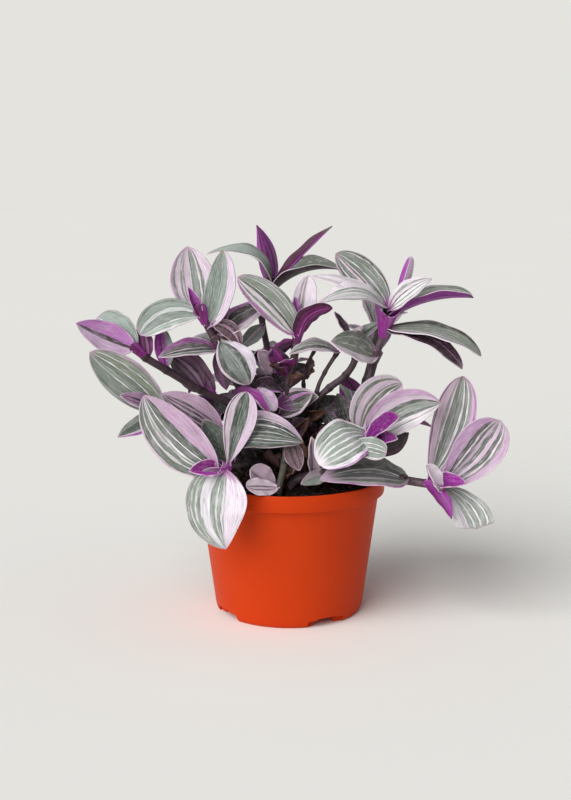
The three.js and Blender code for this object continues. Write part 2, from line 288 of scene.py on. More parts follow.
soil.data.materials.append(damp_peat("damp_peat", "0b0807", "261a14"))
bpy.ops.object.shade_smooth_by_angle(angle=math.radians(60))
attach(soil, "root")
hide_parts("soil")


def strew(name, shape, count, sizes, reach, lift, flat, seed):
    """One piece made of many copies of shape, lying at random on the mound within reach.

    sizes are the least and most size, lift is how high they lie and flat is how far they tilt.
    """
    chance = random.Random(seed)
    corners, faces = [], []
    while count:
        place = Vector((chance.uniform(-reach, reach), chance.uniform(-reach, reach), 0))
        if place.length > reach:
            continue
        count -= 1
        place.z = mound_height(place.length) + lift
        lie = flat * math.pi
        turn = Euler([chance.uniform(-lie, lie), chance.uniform(-lie, lie), chance.uniform(0, 7)])
        size = chance.uniform(*sizes) ** 1.5
        stretch = [size * chance.uniform(0.6, 1.3) for axis in range(3)]
        first = len(corners)
        for vertex in shape.data.vertices:
            corner = Vector(a * b for a, b in zip(vertex.co, stretch))
            corner.rotate(turn)
            corners.append((corner + place) * mm)
        faces += [[first + i for i in face.vertices] for face in shape.data.polygons]
    mesh = bpy.data.meshes.new(name)
    mesh.from_pydata(corners, [], faces)
    piece = bpy.data.objects.new(name, mesh)
    bpy.context.collection.objects.link(piece)
    bpy.data.objects.remove(shape)
    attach(piece, "root")
    return piece


bpy.ops.mesh.primitive_ico_sphere_add(subdivisions=1, radius=1)
crumb = bpy.context.object
for vertex in crumb.data.vertices:
    vertex.co *= 1 + 0.35 * noise.noise(vertex.co * 3)
crumbs = strew("peat_crumbs", crumb, 2600, (0.5, 1.6), reach=55.5, lift=0.4, flat=1, seed=3)
crumbs.data.materials.append(damp_peat("peat_crumb", "0e0a08", "33231b"))

bpy.ops.mesh.primitive_cube_add(size=2, scale=(1, 0.55, 0.22))
chip = bpy.context.object
bpy.ops.object.transform_apply()
round_edges(chip, 0.14)
chips = strew("bark_chips", chip, 150, (1.2, 2.2), reach=54, lift=1.0, flat=0.12, seed=8)
chips.data.materials.append(damp_peat("bark_chip", "1c120d", "4b3427"))

# Dead roots and peat fibres, about half a millimetre thick.
fibre_curve = bpy.data.curves.new("root_fibres", "CURVE")
fibre_curve.dimensions = "3D"
fibre_curve.bevel_depth = 0.28 * mm
fibre_curve.bevel_resolution = 0
fibre_reach = 54
fibre_step = 2.2
fibre_chance = random.Random(21)
for i in range(150):
    spline = fibre_curve.splines.new("POLY")
    spline.points.add(6)
    spot = Vector((fibre_chance.gauss(4, 20), fibre_chance.gauss(0, 20), 0))
    heading = fibre_chance.uniform(0, 2 * math.pi)
    for j, knot in enumerate(spline.points):
        spot.x += fibre_step * math.cos(heading)
        spot.y += fibre_step * math.sin(heading)
        heading += fibre_chance.uniform(-0.6, 0.6)
        lying = spot.copy()
        if lying.length > fibre_reach:
            lying *= fibre_reach / lying.length
        lying.z = mound_height(lying.length) + 1.1 + 1.3 * math.sin(j)
        knot.co = (*(lying * mm), 1)
fibres = bpy.data.objects.new("root_fibres", fibre_curve)
bpy.context.collection.objects.link(fibres)
select_only(fibres)
bpy.ops.object.convert(target="MESH")
fibres = bpy.context.object
fibres.data.materials.append(damp_peat("dead_root", "2b1d19", "6a4c42"))
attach(fibres, "root")

# ---- stems ----
# Rooted cuttings: succulent, jointed stems of 4 to 5 mm, brown and corky low down and purple-green
# towards the tip, with a darker swollen joint wherever a leaf clasped or still clasps them.
def curve_through(knots, steps):
    """Points on a smooth curve through the knots, with this many steps from one knot to the next."""
    knots = [Vector(knot) for knot in knots]
    ends = [2 * knots[0] - knots[1], *knots, 2 * knots[-1] - knots[-2]]
    points = []
    for a, b, c, d in zip(ends, ends[1:], ends[2:], ends[3:]):
        for i in range(steps):
            t = i / steps
            bend = (2 * a - 5 * b + 4 * c - d) * t**2 + (3 * b - a - 3 * c + d) * t**3
            points.append((2 * b + (c - a) * t + bend) / 2)
    return points + [knots[-1]]


def tube(name, points, radii, sides):
    """A flat grid rolled up along the points, in millimetres; its U runs round and its V along."""
    bpy.ops.mesh.primitive_grid_add(x_subdivisions=sides, y_subdivisions=len(points) - 1, size=2)
    rolled = bpy.context.object
    rolled.name = name
    across = Vector((1, 0.2, 0.1))
    frames = []
    for i, spot in enumerate(points):
        ahead = (points[min(i + 1, len(points) - 1)] - points[max(i - 1, 0)]).normalized()
        across = (across - across.dot(ahead) * ahead).normalized()
        frames.append((spot, across, ahead.cross(across)))
    for vertex in rolled.data.vertices:
        row = round((vertex.co.y + 1) / 2 * (len(points) - 1))
        angle = math.pi * vertex.co.x
        spot, right, front = frames[row]
        ring = right * math.cos(angle) + front * math.sin(angle)
        vertex.co = (spot + ring * radii[row]) * mm
    return rolled


def sew(close_ends):
    """Merges the two long edges that meet on the active rolled-up grid, and fills its ends if asked."""
    bpy.ops.object.mode_set(mode="EDIT")
    bpy.ops.mesh.select_all(action="SELECT")
    bpy.ops.mesh.remove_doubles(threshold=0.01 * mm)
    if close_ends:
        bpy.ops.mesh.select_all(action="SELECT")
        bpy.ops.mesh.fill_holes(sides=0)
    bpy.ops.object.mode_set(mode="OBJECT")


# Live stem skin: waxy, with blotches of 5 mm, finely ribbed lengthwise and dark at each joint. It
# turns from the low colour to the high one between 85 and 170 mm up.
def stem_skin(name, low, high):
    material, shader = new_material(name)
    place = node(material, "TexCoord").outputs["Object"]
    height = node(material, "SeparateXYZ", [place]).outputs["Z"]
    youth = node(material, "MapRange", [height, 85 * mm, 170 * mm])
    aged = node(material, "Mix", {"Factor": youth, "A": colour(low), "B": colour(high)}, data_type="RGBA")
    blotches = node(material, "TexNoise", {"Vector": place, "Scale": 220, "Detail": 3})
    shades = node(material, "MapRange", [blotches, 0.3, 0.7, 0.6, 1.35])
    mottled = node(material, "HueSaturation", {"Color": aged, "Value": shades})
    joint = node(material, "Attribute", attribute_name="joint").outputs["Fac"]
    banding = node(material, "MapRange", [joint, 0.25, 0.9, 0, 0.75])
    bands = {"Factor": banding, "A": mottled, "B": colour("1d1618")}
    banded = node(material, "Mix", bands, data_type="RGBA")
    around = node(material, "UVMap", uv_map="UVMap")
    ribs_place = node(material, "Mapping", {"Vector": around, "Scale": (22, 6, 1)})
    ribs = node(material, "TexNoise", {"Vector": ribs_place, "Scale": 1, "Detail": 2})
    bump = node(material, "Bump", {"Height": ribs, "Strength": 0.5, "Distance": 0.6 * mm})
    shader.inputs["Roughness"].default_value = 0.5
    feed(shader, {"Base Color": banded, "Normal": bump})
    return material


def stem(name, routes, low, high, node_name=None):
    """A stem and its branches; a route is a radius and the points it runs through, in millimetres.

    There is a joint at each of these points, and one 2 mm from the end.
    """
    steps = 12
    branches = []
    for radius, *knots in routes:
        points = curve_through(knots, steps)
        along = [0.0]
        for a, b in zip(points, points[1:]):
            along.append(along[-1] + (b - a).length)
        joints = [along[i] for i in range(steps, len(points) - 1, steps)] + [along[-1] - 2]
        # A joint swells by a fifth over some 3 mm. On both sides of the first one the stem thins by 16%.
        swelling = [max(math.exp(-(((s - joint) / 1.5) ** 2)) for joint in joints) for s in along]
        thinning = [0.16 * math.sin(math.pi * min(1, abs(s - joints[0]) / 30)) for s in along]
        radii = [radius * (0.97 + 0.2 * swell - thin) for swell, thin in zip(swelling, thinning)]
        branch = tube(name, points, radii, sides=14)
        rings = branch.data.attributes.new("joint", "FLOAT", "POINT")
        for i, item in enumerate(rings.data):
            item.value = swelling[i * len(points) // len(rings.data)]
        sew(close_ends=True)
        branches.append(branch)
    select_only(*branches)
    if len(branches) > 1:
        bpy.ops.object.join()
    whole = bpy.context.object
    whole.name = name
    whole.data.materials.clear()
    whole.data.materials.append(stem_skin(name + "_skin", low, high))
    bpy.ops.object.shade_smooth_by_angle(angle=math.radians(50))
    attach(whole, "root")
    if node_name:
        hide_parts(node_name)


for name, low, high, *routes in [
    (
        "top", "2c2224", "4a3642",
        [2.1, (-4, 12, 84), (-8, 12, 122), (-13, 12, 159), (-17, 12, 183), (-14, 12, 196), (-11, 12, 203)],
    ),
    (
        "left", "2a2022", "46303a",
        [
            2.5, (-10, -8, 78), (-18, -12, 108), (-27, -12, 135),
            (-37, -12, 155), (-43, -12, 168), (-54, -12, 189),
        ],
        [
            2.4, (-18, -12, 108), (-33, -14, 131), (-54, -18, 142),
            (-74, -22, 155), (-86, -25, 163), (-92, -26, 169),
        ],
    ),
    (
        "center", "241b1e", "523a44",
        [2.6, (-3, 0, 84), (-4, -2, 110), (-1, -3, 143), (2, -4, 155), (4, -5, 166), (5, -5, 175)],
    ),
    (
        "upper_right", "2c2126", "54404c",
        [2.35, (32, -4, 76), (37, -7, 105), (47, -8, 139), (53, -8, 161), (57, -8, 175), (60, -8, 193)],
    ),
    (
        "mid_right", "2c2226", "5a444e",
        [
            2.2, (12, 2, 84), (14, 2, 112), (17, 2, 131),
            (25, 2, 140), (35, 2, 148), (41, 2, 159), (39, 4, 173),
        ],
        [1.5, (14, 2, 108), (17, 0, 137), (22, 0, 150), (30, 0, 163)],
        [1.3, (14, 2, 108), (9, 7, 141), (11, 8, 153), (16, 8, 163)],
    ),
    (
        "front_left", "2a2422", "503c46",
        [2.4, (-15, -24, 76), (-21, -36, 97), (-30, -50, 103), (-40, -59, 103)],
        [2.1, (-18, -29, 86), (-26, -28, 105), (-40, -34, 120), (-58, -38, 128), (-75, -42, 134)],
    ),
    (
        "front", "4c4a3e", "5c5a4a",
        [2.4, (-9, -44, 72), (-7, -45, 84), (-3, -44, 103), (-1, -42, 117)],
    ),
    (
        "front_right", "2a2624", "54464a",
        [2.5, (28, -18, 76), (34, -26, 100), (40, -32, 110), (47, -34, 117)],
    ),
    (
        "right", "5a4450", "7a6068",
        [2.7, (-2, -32, 78), (4, -35, 90), (20, -35, 95), (38, -31, 96), (70, -26, 88), (92, -33, 86)],
    ),
    (
        "back_left", "2c2422", "503c44",
        [2.4, (-20, 16, 76), (-30, 30, 102), (-42, 44, 113), (-54, 58, 112)],
    ),
    (
        "back_right", "2c2422", "503c44",
        [2.4, (18, 18, 76), (30, 32, 100), (42, 46, 108), (52, 60, 106)],
        [2.1, (18, 18, 76), (10, 40, 104), (2, 58, 108)],
    ),
]:
    stem(name + "_stem", routes, low, high, node_name="stem_" + name)

# ---- leaves of the top shoot ----
# Soft, slightly fleshy blades about 0.6 mm thick, striped from foot to tip in silver-green, dark
# green, white and pink, and purple underneath. Each clasps its stem at its foot.
leaf_dyes = {
    "white": "eeeaec",
    "blush": "e6d3e0",
    "pink": "cfa9c5",
    "lilac": "c9a3c6",
    "rose": "bd7fbc",
    "magenta": "a83ca8",
    "deep": "92228a",
    "silver": "a9b3a9",
    "sage": "8d978d",
    "green": "717b70",
    "moss": "5a6459",
    "dark": "454a43",
    "plum": "563147",
    "night": "2e1c26",
}


def leaf_colour(dye):
    """A leaf dye, or an sRGB hex colour that has no name here, as a linear colour."""
    return colour(leaf_dyes.get(dye, dye))


def read_stripes(text):
    """Turns "12 pink, 30 green" into (share, sRGB hex) pairs whose shares add up to 1."""
    pairs = [item.split() for item in text.split(", ")]
    total = sum(float(share) for share, dye in pairs)
    return [(float(share) / total, leaf_dyes.get(dye, dye)) for share, dye in pairs]


def underside(stripes):
    """What the stripes look like from below: magenta under pale ones, dark purple under green ones."""
    below = []
    for share, code in stripes:
        least = min(int(code[i : i + 2], 16) for i in (0, 2, 4))
        below.append((share, "93459a" if least > 180 else "6f2f66" if least > 140 else "40233a"))
    return below


def is_green(code):
    red, green, blue = [int(code[i : i + 2], 16) for i in (0, 2, 4)]
    return green >= red - 6 and green >= blue - 4 and red < 190


def band_stops(stripes):
    """The (place, colour) stops that draw the stripes; a green stripe is darker along its edges.

    A ramp holds 32 stops, so the widest green stripes get their dark edges first.
    """
    most_stops = 32
    soft_edge = 0.009
    dark_edge = 0.035
    spare = (most_stops - 2 * len(stripes)) // 2
    greens = sorted((s for s in stripes if is_green(s[1]) and s[0] > 0.05), reverse=True)[:spare]
    stops = []
    end = 0.0
    for share, code in stripes:
        start, end = end, end + share
        soft = min(soft_edge, share / 4)
        shade = colour(code)
        edge = shade
        inner = []
        if (share, code) in greens:
            edge = (shade[0] * 0.5, shade[1] * 0.55, shade[2] * 0.52, 1)
            fade = min(dark_edge, share / 4)
            inner = [(start + fade, shade), (end - fade, shade)]
        stops += [(start + soft, edge), *inner, (end - soft, edge)]
    return stops


# Leaf skin: waxy cells that glint a little along the veins, so it is satin and finely ribbed. It is
# drawn on the unrolled blade: X runs from margin to margin and Y from foot to tip.
def leaf_skin(name, stripes, tip_dye, edge_dye, fleck_dyes, seed, foot_dye, foot_reach, tip_start):
    material, shader = new_material(name)
    unrolled = node(material, "UVMap", uv_map="UVMap")
    parts = node(material, "SeparateXYZ", [unrolled]).outputs

    def strands(count, lengthways, detail=2):
        """Noise drawn out along the leaf: count changes from margin to margin, few from foot to tip."""
        place = {"Vector": unrolled, "Location": (seed, count, 0), "Scale": (count, lengthways, 1)}
        drawn = node(material, "Mapping", place)
        return node(material, "TexNoise", {"Vector": drawn, "Scale": 1, "Detail": detail})

    # The stripes wander a little and have feathered edges.
    wander = node(material, "MapRange", [strands(3, 1.6), 0.3, 0.7, -0.022, 0.022])
    feather = node(material, "MapRange", [strands(46, 6), 0.3, 0.7, -0.017, 0.017])
    wandered = node(material, "Math", [parts["X"], wander], operation="ADD")
    place = node(material, "Math", [wandered, feather], operation="ADD")
    ramp = node(material, "ValToRGB", [place])
    stops = band_stops(stripes)
    bands = ramp.color_ramp.elements
    while len(bands) < len(stops):
        bands.new(1.0)
    for band, (position, shade) in zip(bands, stops):
        band.position = position
        band.color = shade
    # Each stripe is itself many fine lighter and darker lines.
    values = node(material, "MapRange", [strands(76, 3.5, 3), 0.3, 0.7, 0.66, 1.2])
    depths = node(material, "MapRange", [strands(24, 2.5), 0.3, 0.7, 1.35, 0.7])
    skin = node(material, "HueSaturation", {"Color": ramp, "Value": values, "Saturation": depths})

    # Here and there the stripes run together into the leaf's own middle tone.
    middle = [sum(share * colour(code)[i] for share, code in stripes) for i in range(3)]
    blurs = node(material, "MapRange", [strands(10, 4), 0.5, 0.68, 0, 0.5])
    # Flecks where a line of cells has more or less green in it.
    pale_flecks = node(material, "MapRange", [strands(62, 9, 3), 0.56, 0.68, 0, 0.5])
    dark_flecks = node(material, "MapRange", [strands(52, 6, 3), 0.4, 0.29, 0, 0.5])
    # Foot and tip have their own colours, which run into the blade in uneven streaks.
    streak = strands(30, 3)
    uneven = node(material, "MapRange", [streak, 0.3, 0.7, -0.05, 0.05])
    along = node(material, "Math", [parts["Y"], uneven], operation="ADD")
    at_foot = node(material, "MapRange", [along, foot_reach, 0, 0, 0.95])
    at_tip = node(material, "MapRange", [along, tip_start, tip_start + 0.1, 0, 0.85])
    # The margin is a thin broken line.
    from_middle = node(material, "Math", [parts["X"], 0.5], operation="SUBTRACT")
    breadth = node(material, "Math", [from_middle], operation="ABSOLUTE")
    margin = node(material, "MapRange", [breadth, 0.476, 0.492, 0, 0.8])
    broken = node(material, "MapRange", [streak, 0.36, 0.6, 0.2, 1])
    at_margin = node(material, "Math", [margin, broken], operation="MULTIPLY")
    # Old scars are small rusty specks, thickest towards the margins.
    specks = node(material, "MapRange", [strands(24, 17), 0.655, 0.7])
    outwards = node(material, "MapRange", [breadth, 0.3, 0.49, 0.1, 0.8])
    scars = node(material, "Math", [specks, outwards], operation="MULTIPLY")
    for share, dye in [
        (blurs, (*middle, 1)),
        (pale_flecks, colour(fleck_dyes[0])),
        (dark_flecks, colour(fleck_dyes[1])),
        (at_foot, leaf_colour(foot_dye)),
        (at_tip, leaf_colour(tip_dye)),
        (at_margin, leaf_colour(edge_dye)),
        (scars, colour("8a6048")),
    ]:
        skin = node(material, "Mix", {"Factor": share, "A": skin, "B": dye}, data_type="RGBA")

    # The cells of the skin are drawn 0.7 mm across, coarser than real ones, so that they show.
    veins = strands(34, 1.2)
    gloss = node(material, "MapRange", [veins, 0.3, 0.7, 0.38, 0.54])
    cells_place = node(material, "TexCoord").outputs["Object"]
    cells = node(material, "TexNoise", {"Vector": cells_place, "Scale": 1500, "Detail": 1})
    grain = node(material, "MapRange", [cells, 0, 1, 0, 0.3])
    height = node(material, "Math", [veins, grain], operation="ADD")
    bump = node(material, "Bump", {"Height": height, "Strength": 0.45, "Distance": 0.7 * mm})
    shader.inputs["IOR"].default_value = 1.42
    shader.inputs["Subsurface Weight"].default_value = 0.08
    shader.inputs["Subsurface Radius"].default_value = (0.001, 0.0008, 0.0008)
    feed(shader, {"Base Color": skin, "Roughness": gloss, "Normal": bump})
    return material


def thicken(blade, thickness):
    """Gives the active blade its thickness, half to each side, and its last skin underneath."""
    wall = blade.modifiers.new("thickness", "SOLIDIFY")
    wall.thickness = thickness
    wall.offset = 0
    wall.material_offset = len(blade.data.materials) - 1
    bpy.ops.object.modifier_apply(modifier=wall.name)
    bpy.ops.object.shade_smooth_by_angle(angle=math.radians(55))


# The foot is wrapped round the stem like a gutter, each half at most 2.9 mm wide and lifted by 62
# degrees, and opens into the flat blade. A groove of 0.45 mm runs along the midrib.
clasp_share = 0.06
clasp_half = 2.9
clasp_fold = 62
groove_share = 0.07
groove_depth = 0.45
droop_from = 0.6
margin_waves = 2.6


def leaf(
    name, at, tip, faces, width, top="50 sage, 50 green", under=None, node_name=None, arch=0, sway=0,
    fold=12, taper=0.8, rise=0.65, curl=(0, 0), curl_from=0.5, twist=0, droop=0, wave=0.5,
    foot_dye="deep", foot_reach=0.12, tip_dye="pink", tip_start=0.93, edge_dye="blush", cuts=(22, 36),
):
    """A leaf from at to tip, in millimetres, whose upper side looks towards faces.

    top and under are its stripes; a leaf seen from below keeps the plain top. arch and sway bow the
    midrib up and sideways, fold lifts both halves by so many degrees, taper and rise shape the tip
    and the foot of the outline, curl rolls the left and right margins from curl_from outwards, twist
    turns the blade towards its tip, droop lowers the tip and wave ripples the margins. cuts is the
    number of faces across and along the blade.
    """
    chance = random.Random(name)
    bpy.ops.mesh.primitive_grid_add(x_subdivisions=cuts[0], y_subdivisions=cuts[1], size=2)
    blade = bpy.context.object
    blade.name = name
    foot = Vector(at)
    chord = Vector(tip) - foot
    forward = chord.normalized()
    up = Vector(faces)
    up = (up - up.dot(forward) * forward).normalized()
    across = forward.cross(up)
    widest = rise / (rise + taper)
    fullest = widest**rise * (1 - widest) ** taper
    phases = [chance.uniform(0, 7), chance.uniform(0, 7)]
    rolls = [math.radians(c + chance.uniform(-9, 9)) or 0.01 for c in curl]
    # u runs from margin to margin, from -1 to 1, and v from foot to tip, from 0 to 1.
    for vertex in blade.data.vertices:
        u = vertex.co.x
        v = (vertex.co.y + 1) / 2
        bow = 4 * v * (1 - v)
        slope = 4 * (1 - 2 * v)
        late = max(0, (v - droop_from) / (1 - droop_from))
        dip = 2 * droop * late / (1 - droop_from)
        midrib = foot + chord * v + up * (arch * bow - droop * late**2) + across * (sway * bow)
        tangent = (chord + (up * arch + across * sway) * slope - up * dip).normalized()
        normal = (up - up.dot(tangent) * tangent).normalized()
        if twist:
            normal.rotate(Matrix.Rotation(math.radians(twist) * v, 3, tangent))
        side = tangent.cross(normal)
        outline = v**rise * (1 - v) ** taper / fullest * width / 2 if 0 < v < 1 else 0
        clasp = math.exp(-((v / clasp_share) ** 2))
        half = max(outline, min(clasp_half, 0.14 * width + 0.4) * clasp, 0.4 + (1 - v))
        lift = math.radians(fold + (clasp_fold - fold) * clasp)
        roll = rolls[u > 0]
        flat = min(abs(u), curl_from)
        turned_in = max(0, abs(u) - curl_from)
        angle = roll * turned_in / (1 - curl_from)
        reach = flat + (turned_in * math.sin(angle) / angle if angle else turned_in)
        turned_up = turned_in * (1 - math.cos(angle)) / angle if angle else 0
        ripple = wave * math.sin(2 * math.pi * margin_waves * v + phases[u > 0]) * u**2 * bow
        groove = -groove_depth * math.exp(-((u / groove_share) ** 2)) * (1 - v) ** 0.5
        raised = half * (abs(u) ** 1.5 * math.sin(lift) + turned_up) + ripple + groove
        sideways = math.copysign(reach, u) * half * math.cos(lift)
        vertex.co = (midrib + side * sideways + normal * raised) * mm
    stripes = read_stripes(top)
    below = read_stripes(under) if under else underside(stripes)
    shared = (chance.uniform(0, 90), foot_dye, foot_reach, tip_start)
    for skin in [
        (name + "_top", stripes, tip_dye, edge_dye, ("dcd8da", "6b7069")),
        (name + "_under", below, below[0][1], "6b2f68", ("a070a0", "3a2034")),
    ]:
        blade.data.materials.append(leaf_skin(*skin, *shared))
    thicken(blade, 0.6 * mm)
    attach(blade, "root")
    if node_name:
        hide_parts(node_name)


def grown_leaf(name, *place, **looks):
    """A full-grown leaf, which takes the place of the plain leaf_NAME."""
    leaf(name + "_leaf", *place, node_name="leaf_" + name, **looks)


grown_leaf(
    "top_1", (-11, 12, 200), (-20, 10, 240), (-2, 9, 2), 18,
    sway=-3, fold=50, taper=1.05, rise=0.8, tip_dye="plum", edge_dye="magenta",
    top="30 plum, 4 night, 10 magenta, 56 plum",
    under="24 a040a4, 10 4a2040, 16 9a3f9e, 8 4a2444, 12 83407f, 9 3e2038, 21 a84cac",
)
grown_leaf(
    "top_2", (-10, 12, 202), (26, 0, 240), (-4, 7, 5), 10,
    arch=1, fold=45, tip_dye="blush", tip_start=0.86, edge_dye="b89ab0",
    top="50 5e6560, 50 5e6560",
    under="22 6f7570, 26 66364c, 12 magenta, 40 5a2c46",
)
grown_leaf(
    "top_3", (-11, 12, 198), (31, -6, 215), (0, -3, 8), 22,
    arch=6, fold=38, droop=1,
    top="46 575d54, 8 a9aaa4, 32 575d54, 6 pink, 8 silver",
    under="60 2e1c20, 40 3e2430",
)
grown_leaf(
    "top_4", (-12, 12, 198), (-50, 0, 223), (-1, -4, 8), 15,
    arch=16, fold=20, tip_dye="b08a80", foot_dye="3d2530", foot_reach=0.36,
    top="12 white, 34 a0a9a2, 4 white, 44 a0a9a2, 6 sage",
    under="50 3d292b, 50 3d292b",
)

# ---- leaves of the upper left shoot ----
# Leaves stand fanned out round the tip of the left cutting, with two lower down its stem. The
# upper three are broad and pale, striped in silver-green, white and pink.
grown_leaf(
    "upper_left_1", (-55, -11, 188), (-62, -4, 228), (1, -9, 1), 28,
    arch=-2, taper=0.7, tip_start=0.9, foot_reach=0.14,
    top=(
        "6 lilac, 6 sage, 12 e0cedb, 4 sage, 3 e0cedb, 3 sage, 12 e0c8da, 3 white, 18 8f9690, 4 white, "
        "5 green, 26 e6d4e3"
    ),
)
grown_leaf(
    "upper_left_2", (-50, -13, 179), (-40, -6, 226), (-3, -9, 1), 19.5,
    sway=4, fold=15, taper=0.65, tip_dye="b5793a", tip_start=0.95,
    top="4 silver, 14 8d9991, 2 silver, 22 7d8981, 3 silver, 25 8d9991, 2 white, 4 pink, 24 dccbdb",
)
grown_leaf(
    "upper_left_3", (-53, -13, 187), (-89, -27, 177), (-1, -9, 3), 20,
    sway=7, taper=0.5, foot_reach=0.08,
    top="8 white, 14 b7c4b9, 5 white, 28 959f98, 14 e2e6e5, 22 a5b1a8, 9 silver",
)
grown_leaf(
    "upper_left_4", (-45, -9, 175), (-13, -4, 194), (-1, -8, 5), 17,
    fold=20, tip_start=0.9,
    top="12 rose, 22 484340, 2 silver, 32 484340, 5 rose, 27 c2b6be",
)
grown_leaf(
    "upper_left_5", (-42, -14, 171), (-24, -24, 147), (3, -9, 3), 23,
    arch=3, fold=10, taper=0.7, rise=0.8, droop=1, foot_dye="green",
    top="24 dfd2e0, 14 4a5149, 16 878e89, 3 silver, 21 878e89, 14 5d665d, 8 blush",
)
grown_leaf(
    "upper_left_6", (-44, -13, 166), (-78, -30, 164), (0, -7, 7), 14,
    arch=5, fold=15,
    top="6 blush, 14 green, 4 white, 20 dark, 6 blush, 24 625e5f, 26 91538c",
)

# ---- leaves of the middle shoot ----
# The middle cutting ends in a young rosette whose inner leaf still shows its purple underside. A
# pale pink one stands upright and a striped one leans to the left.
grown_leaf(
    "center_1", (4, -7, 174), (-31, -20, 211), (-4, -8, 4), 20,
    arch=1, sway=4, taper=0.6, curl=(40, 0), curl_from=0.75,
    top=(
        "14 b27cae, 8 white, 6 sage, 12 e8dce4, 10 moss, 3 white, 24 8f988c, 3 white, 10 a4aca4, "
        "2 white, 8 939c92"
    ),
)
grown_leaf(
    "center_2", (6, -8, 173), (26, -16, 192), (-5, 8, 5), 15.5,
    arch=3, sway=5, fold=10, taper=0.6,
    under="14 5a2a4a, 18 7a2064, 4 b06ab0, 16 8e2c7c, 4 b06ab0, 22 7a2064, 22 4a1c3c",
)
grown_leaf(
    "center_3", (6.5, -3, 175), (11.8, -14, 211.5), (-1, -9, 2), 15,
    fold=15, taper=0.5, foot_reach=0.2, tip_start=0.97,
    top="22 f4e6f2, 10 b0a2ac, 6 f4e6f2, 8 b0a2ac, 54 f6eaf4",
)

# ---- leaves of the upper right shoot ----
# The tallest right cutting carries a wide whorl of six, the two longest sweeping out to the right.
# The narrowest stands upright, still folded.
grown_leaf(
    "upper_right_1", (60, -8, 192), (28, -8, 224), (-3, -8, 4), 21,
    sway=2, fold=15, taper=0.6, tip_dye="b08ca0", tip_start=0.92, foot_reach=0.14,
    top=(
        "8 c3a9bb, 9 69726a, 3 white, 12 7f877f, 8 blush, 5 5c645d, 4 blush, 12 747d74, 3 white, "
        "12 7b837b, 3 silver, 12 868e86, 3 white, 8 5c645d"
    ),
)
grown_leaf(
    "upper_right_2", (59, -7, 190), (18, -22, 196), (0, -5, 8), 19,
    arch=10, foot_reach=0.05,
    top="6 sage, 16 e1d8e0, 4 sage, 4 white, 4 sage, 20 d8d4d5, 6 sage, 4 white, 8 sage, 28 e6dce4",
)
grown_leaf(
    "upper_right_3", (65, -7, 191), (74, -4, 222), (2, 9, 0), 10,
    fold=50, taper=0.45, foot_reach=0.3,
    top="50 magenta, 50 rose",
    under="54 dcc8da, 46 a848ac",
)
grown_leaf(
    "upper_right_4", (61, -10, 190), (85, -20, 210), (-2, -7, 6), 15,
    arch=3, fold=20, foot_reach=0.2,
    top="16 e8dfe6, 8 sage, 12 blush, 6 green, 14 white, 8 sage, 20 white, 6 green, 10 white",
)
grown_leaf(
    "upper_right_5", (60, -8, 184), (111, -14, 198), (0, -2, 9), 21,
    arch=5, fold=38, taper=0.55, curl=(0, 20), foot_reach=0.2,
    top="8 green, 46 8f958a, 3 silver, 20 8a9086, 23 c9b0c4",
    under="30 40233a, 16 7a3474, 10 451f38, 24 9b3f9b, 20 86388a",
)
grown_leaf(
    "upper_right_6", (58, -9, 177), (116, -20, 165), (0, -3, 9), 21,
    arch=6, fold=15, taper=0.55, droop=2, tip_dye="8a7f80",
    top="12 dark, 20 899083, 3 silver, 22 899083, 10 dcd8da, 6 sage, 20 c9c4c6, 7 white",
    under="50 352425, 50 452a3a",
)

# ---- leaves of the middle right shoot ----
# Two leaves reach towards the middle of the pot, the upper one short and broad, the lower one
# narrow.
grown_leaf(
    "mid_right_1", (53, -9, 161), (25, -20, 172), (-1, -7, 7), 24,
    arch=2, fold=14,
    top="32 c8bfc4, 4 green, 16 7f8076, 2 silver, 24 6f756a, 2 silver, 20 666c62",
)
grown_leaf(
    "mid_right_2", (30, 0, 162), (0, -10, 163), (0, -5, 8), 13,
    arch=6,
    top="24 c4b4c0, 4 white, 34 5f635c, 3 white, 20 8a8f88, 15 b8aeb6",
)

# ---- leaves of the left shoot ----
# The outer branch of the left cutting ends in a pair, the rear one flat and silver. A third stands
# behind it with its underside to the front.
grown_leaf(
    "left_1", (-92, -26, 168), (-126, -34, 185), (1, -9, 4), 19,
    arch=-2, fold=15, foot_reach=0.08, curl=(0, 15),
    top="42 d8bcd6, 16 504f46, 42 c584c6",
)
grown_leaf(
    "left_2", (-91, -25, 169), (-116, -14, 186), (2, -9, 2), 22,
    arch=2, fold=10, taper=0.5,
    top="8 silver, 16 949f97, 2 white, 24 9ba79f, 3 white, 40 9ba79f, 7 silver",
)
grown_leaf(
    "left_3", (-46, -17, 139), (-72, -10, 170), (3, 9, 2), 17,
    fold=15,
    under="16 69495e, 8 3a2030, 16 69495e, 8 3a2030, 18 69495e, 8 3a2030, 26 5d4052",
)

# ---- leaves of the low left shoot ----
# A big silver leaf stands at the end of the branch and a smaller one, striped dark and pink, lies
# back along it.
grown_leaf(
    "low_left_1", (-74, -42, 134), (-116, -50, 170), (-1, -8, 5), 25,
    taper=0.62, foot_reach=0.08,
    top=(
        "10 silver, 26 8f998e, 2 white, 8 99a296, 2 silver, 12 7c857a, 3 white, 16 88917f, 2 white, "
        "12 92988c, 7 b8a0b4"
    ),
)
grown_leaf(
    "low_left_2", (-41, -35, 121), (-76, -42, 144), (2, -8, 5), 20,
    arch=2,
    top="14 sage, 9 4e4c4a, 5 pink, 9 5e595c, 6 d0b0c8, 9 4e4a4c, 5 pink, 7 6a6468, 36 ccabc4",
)

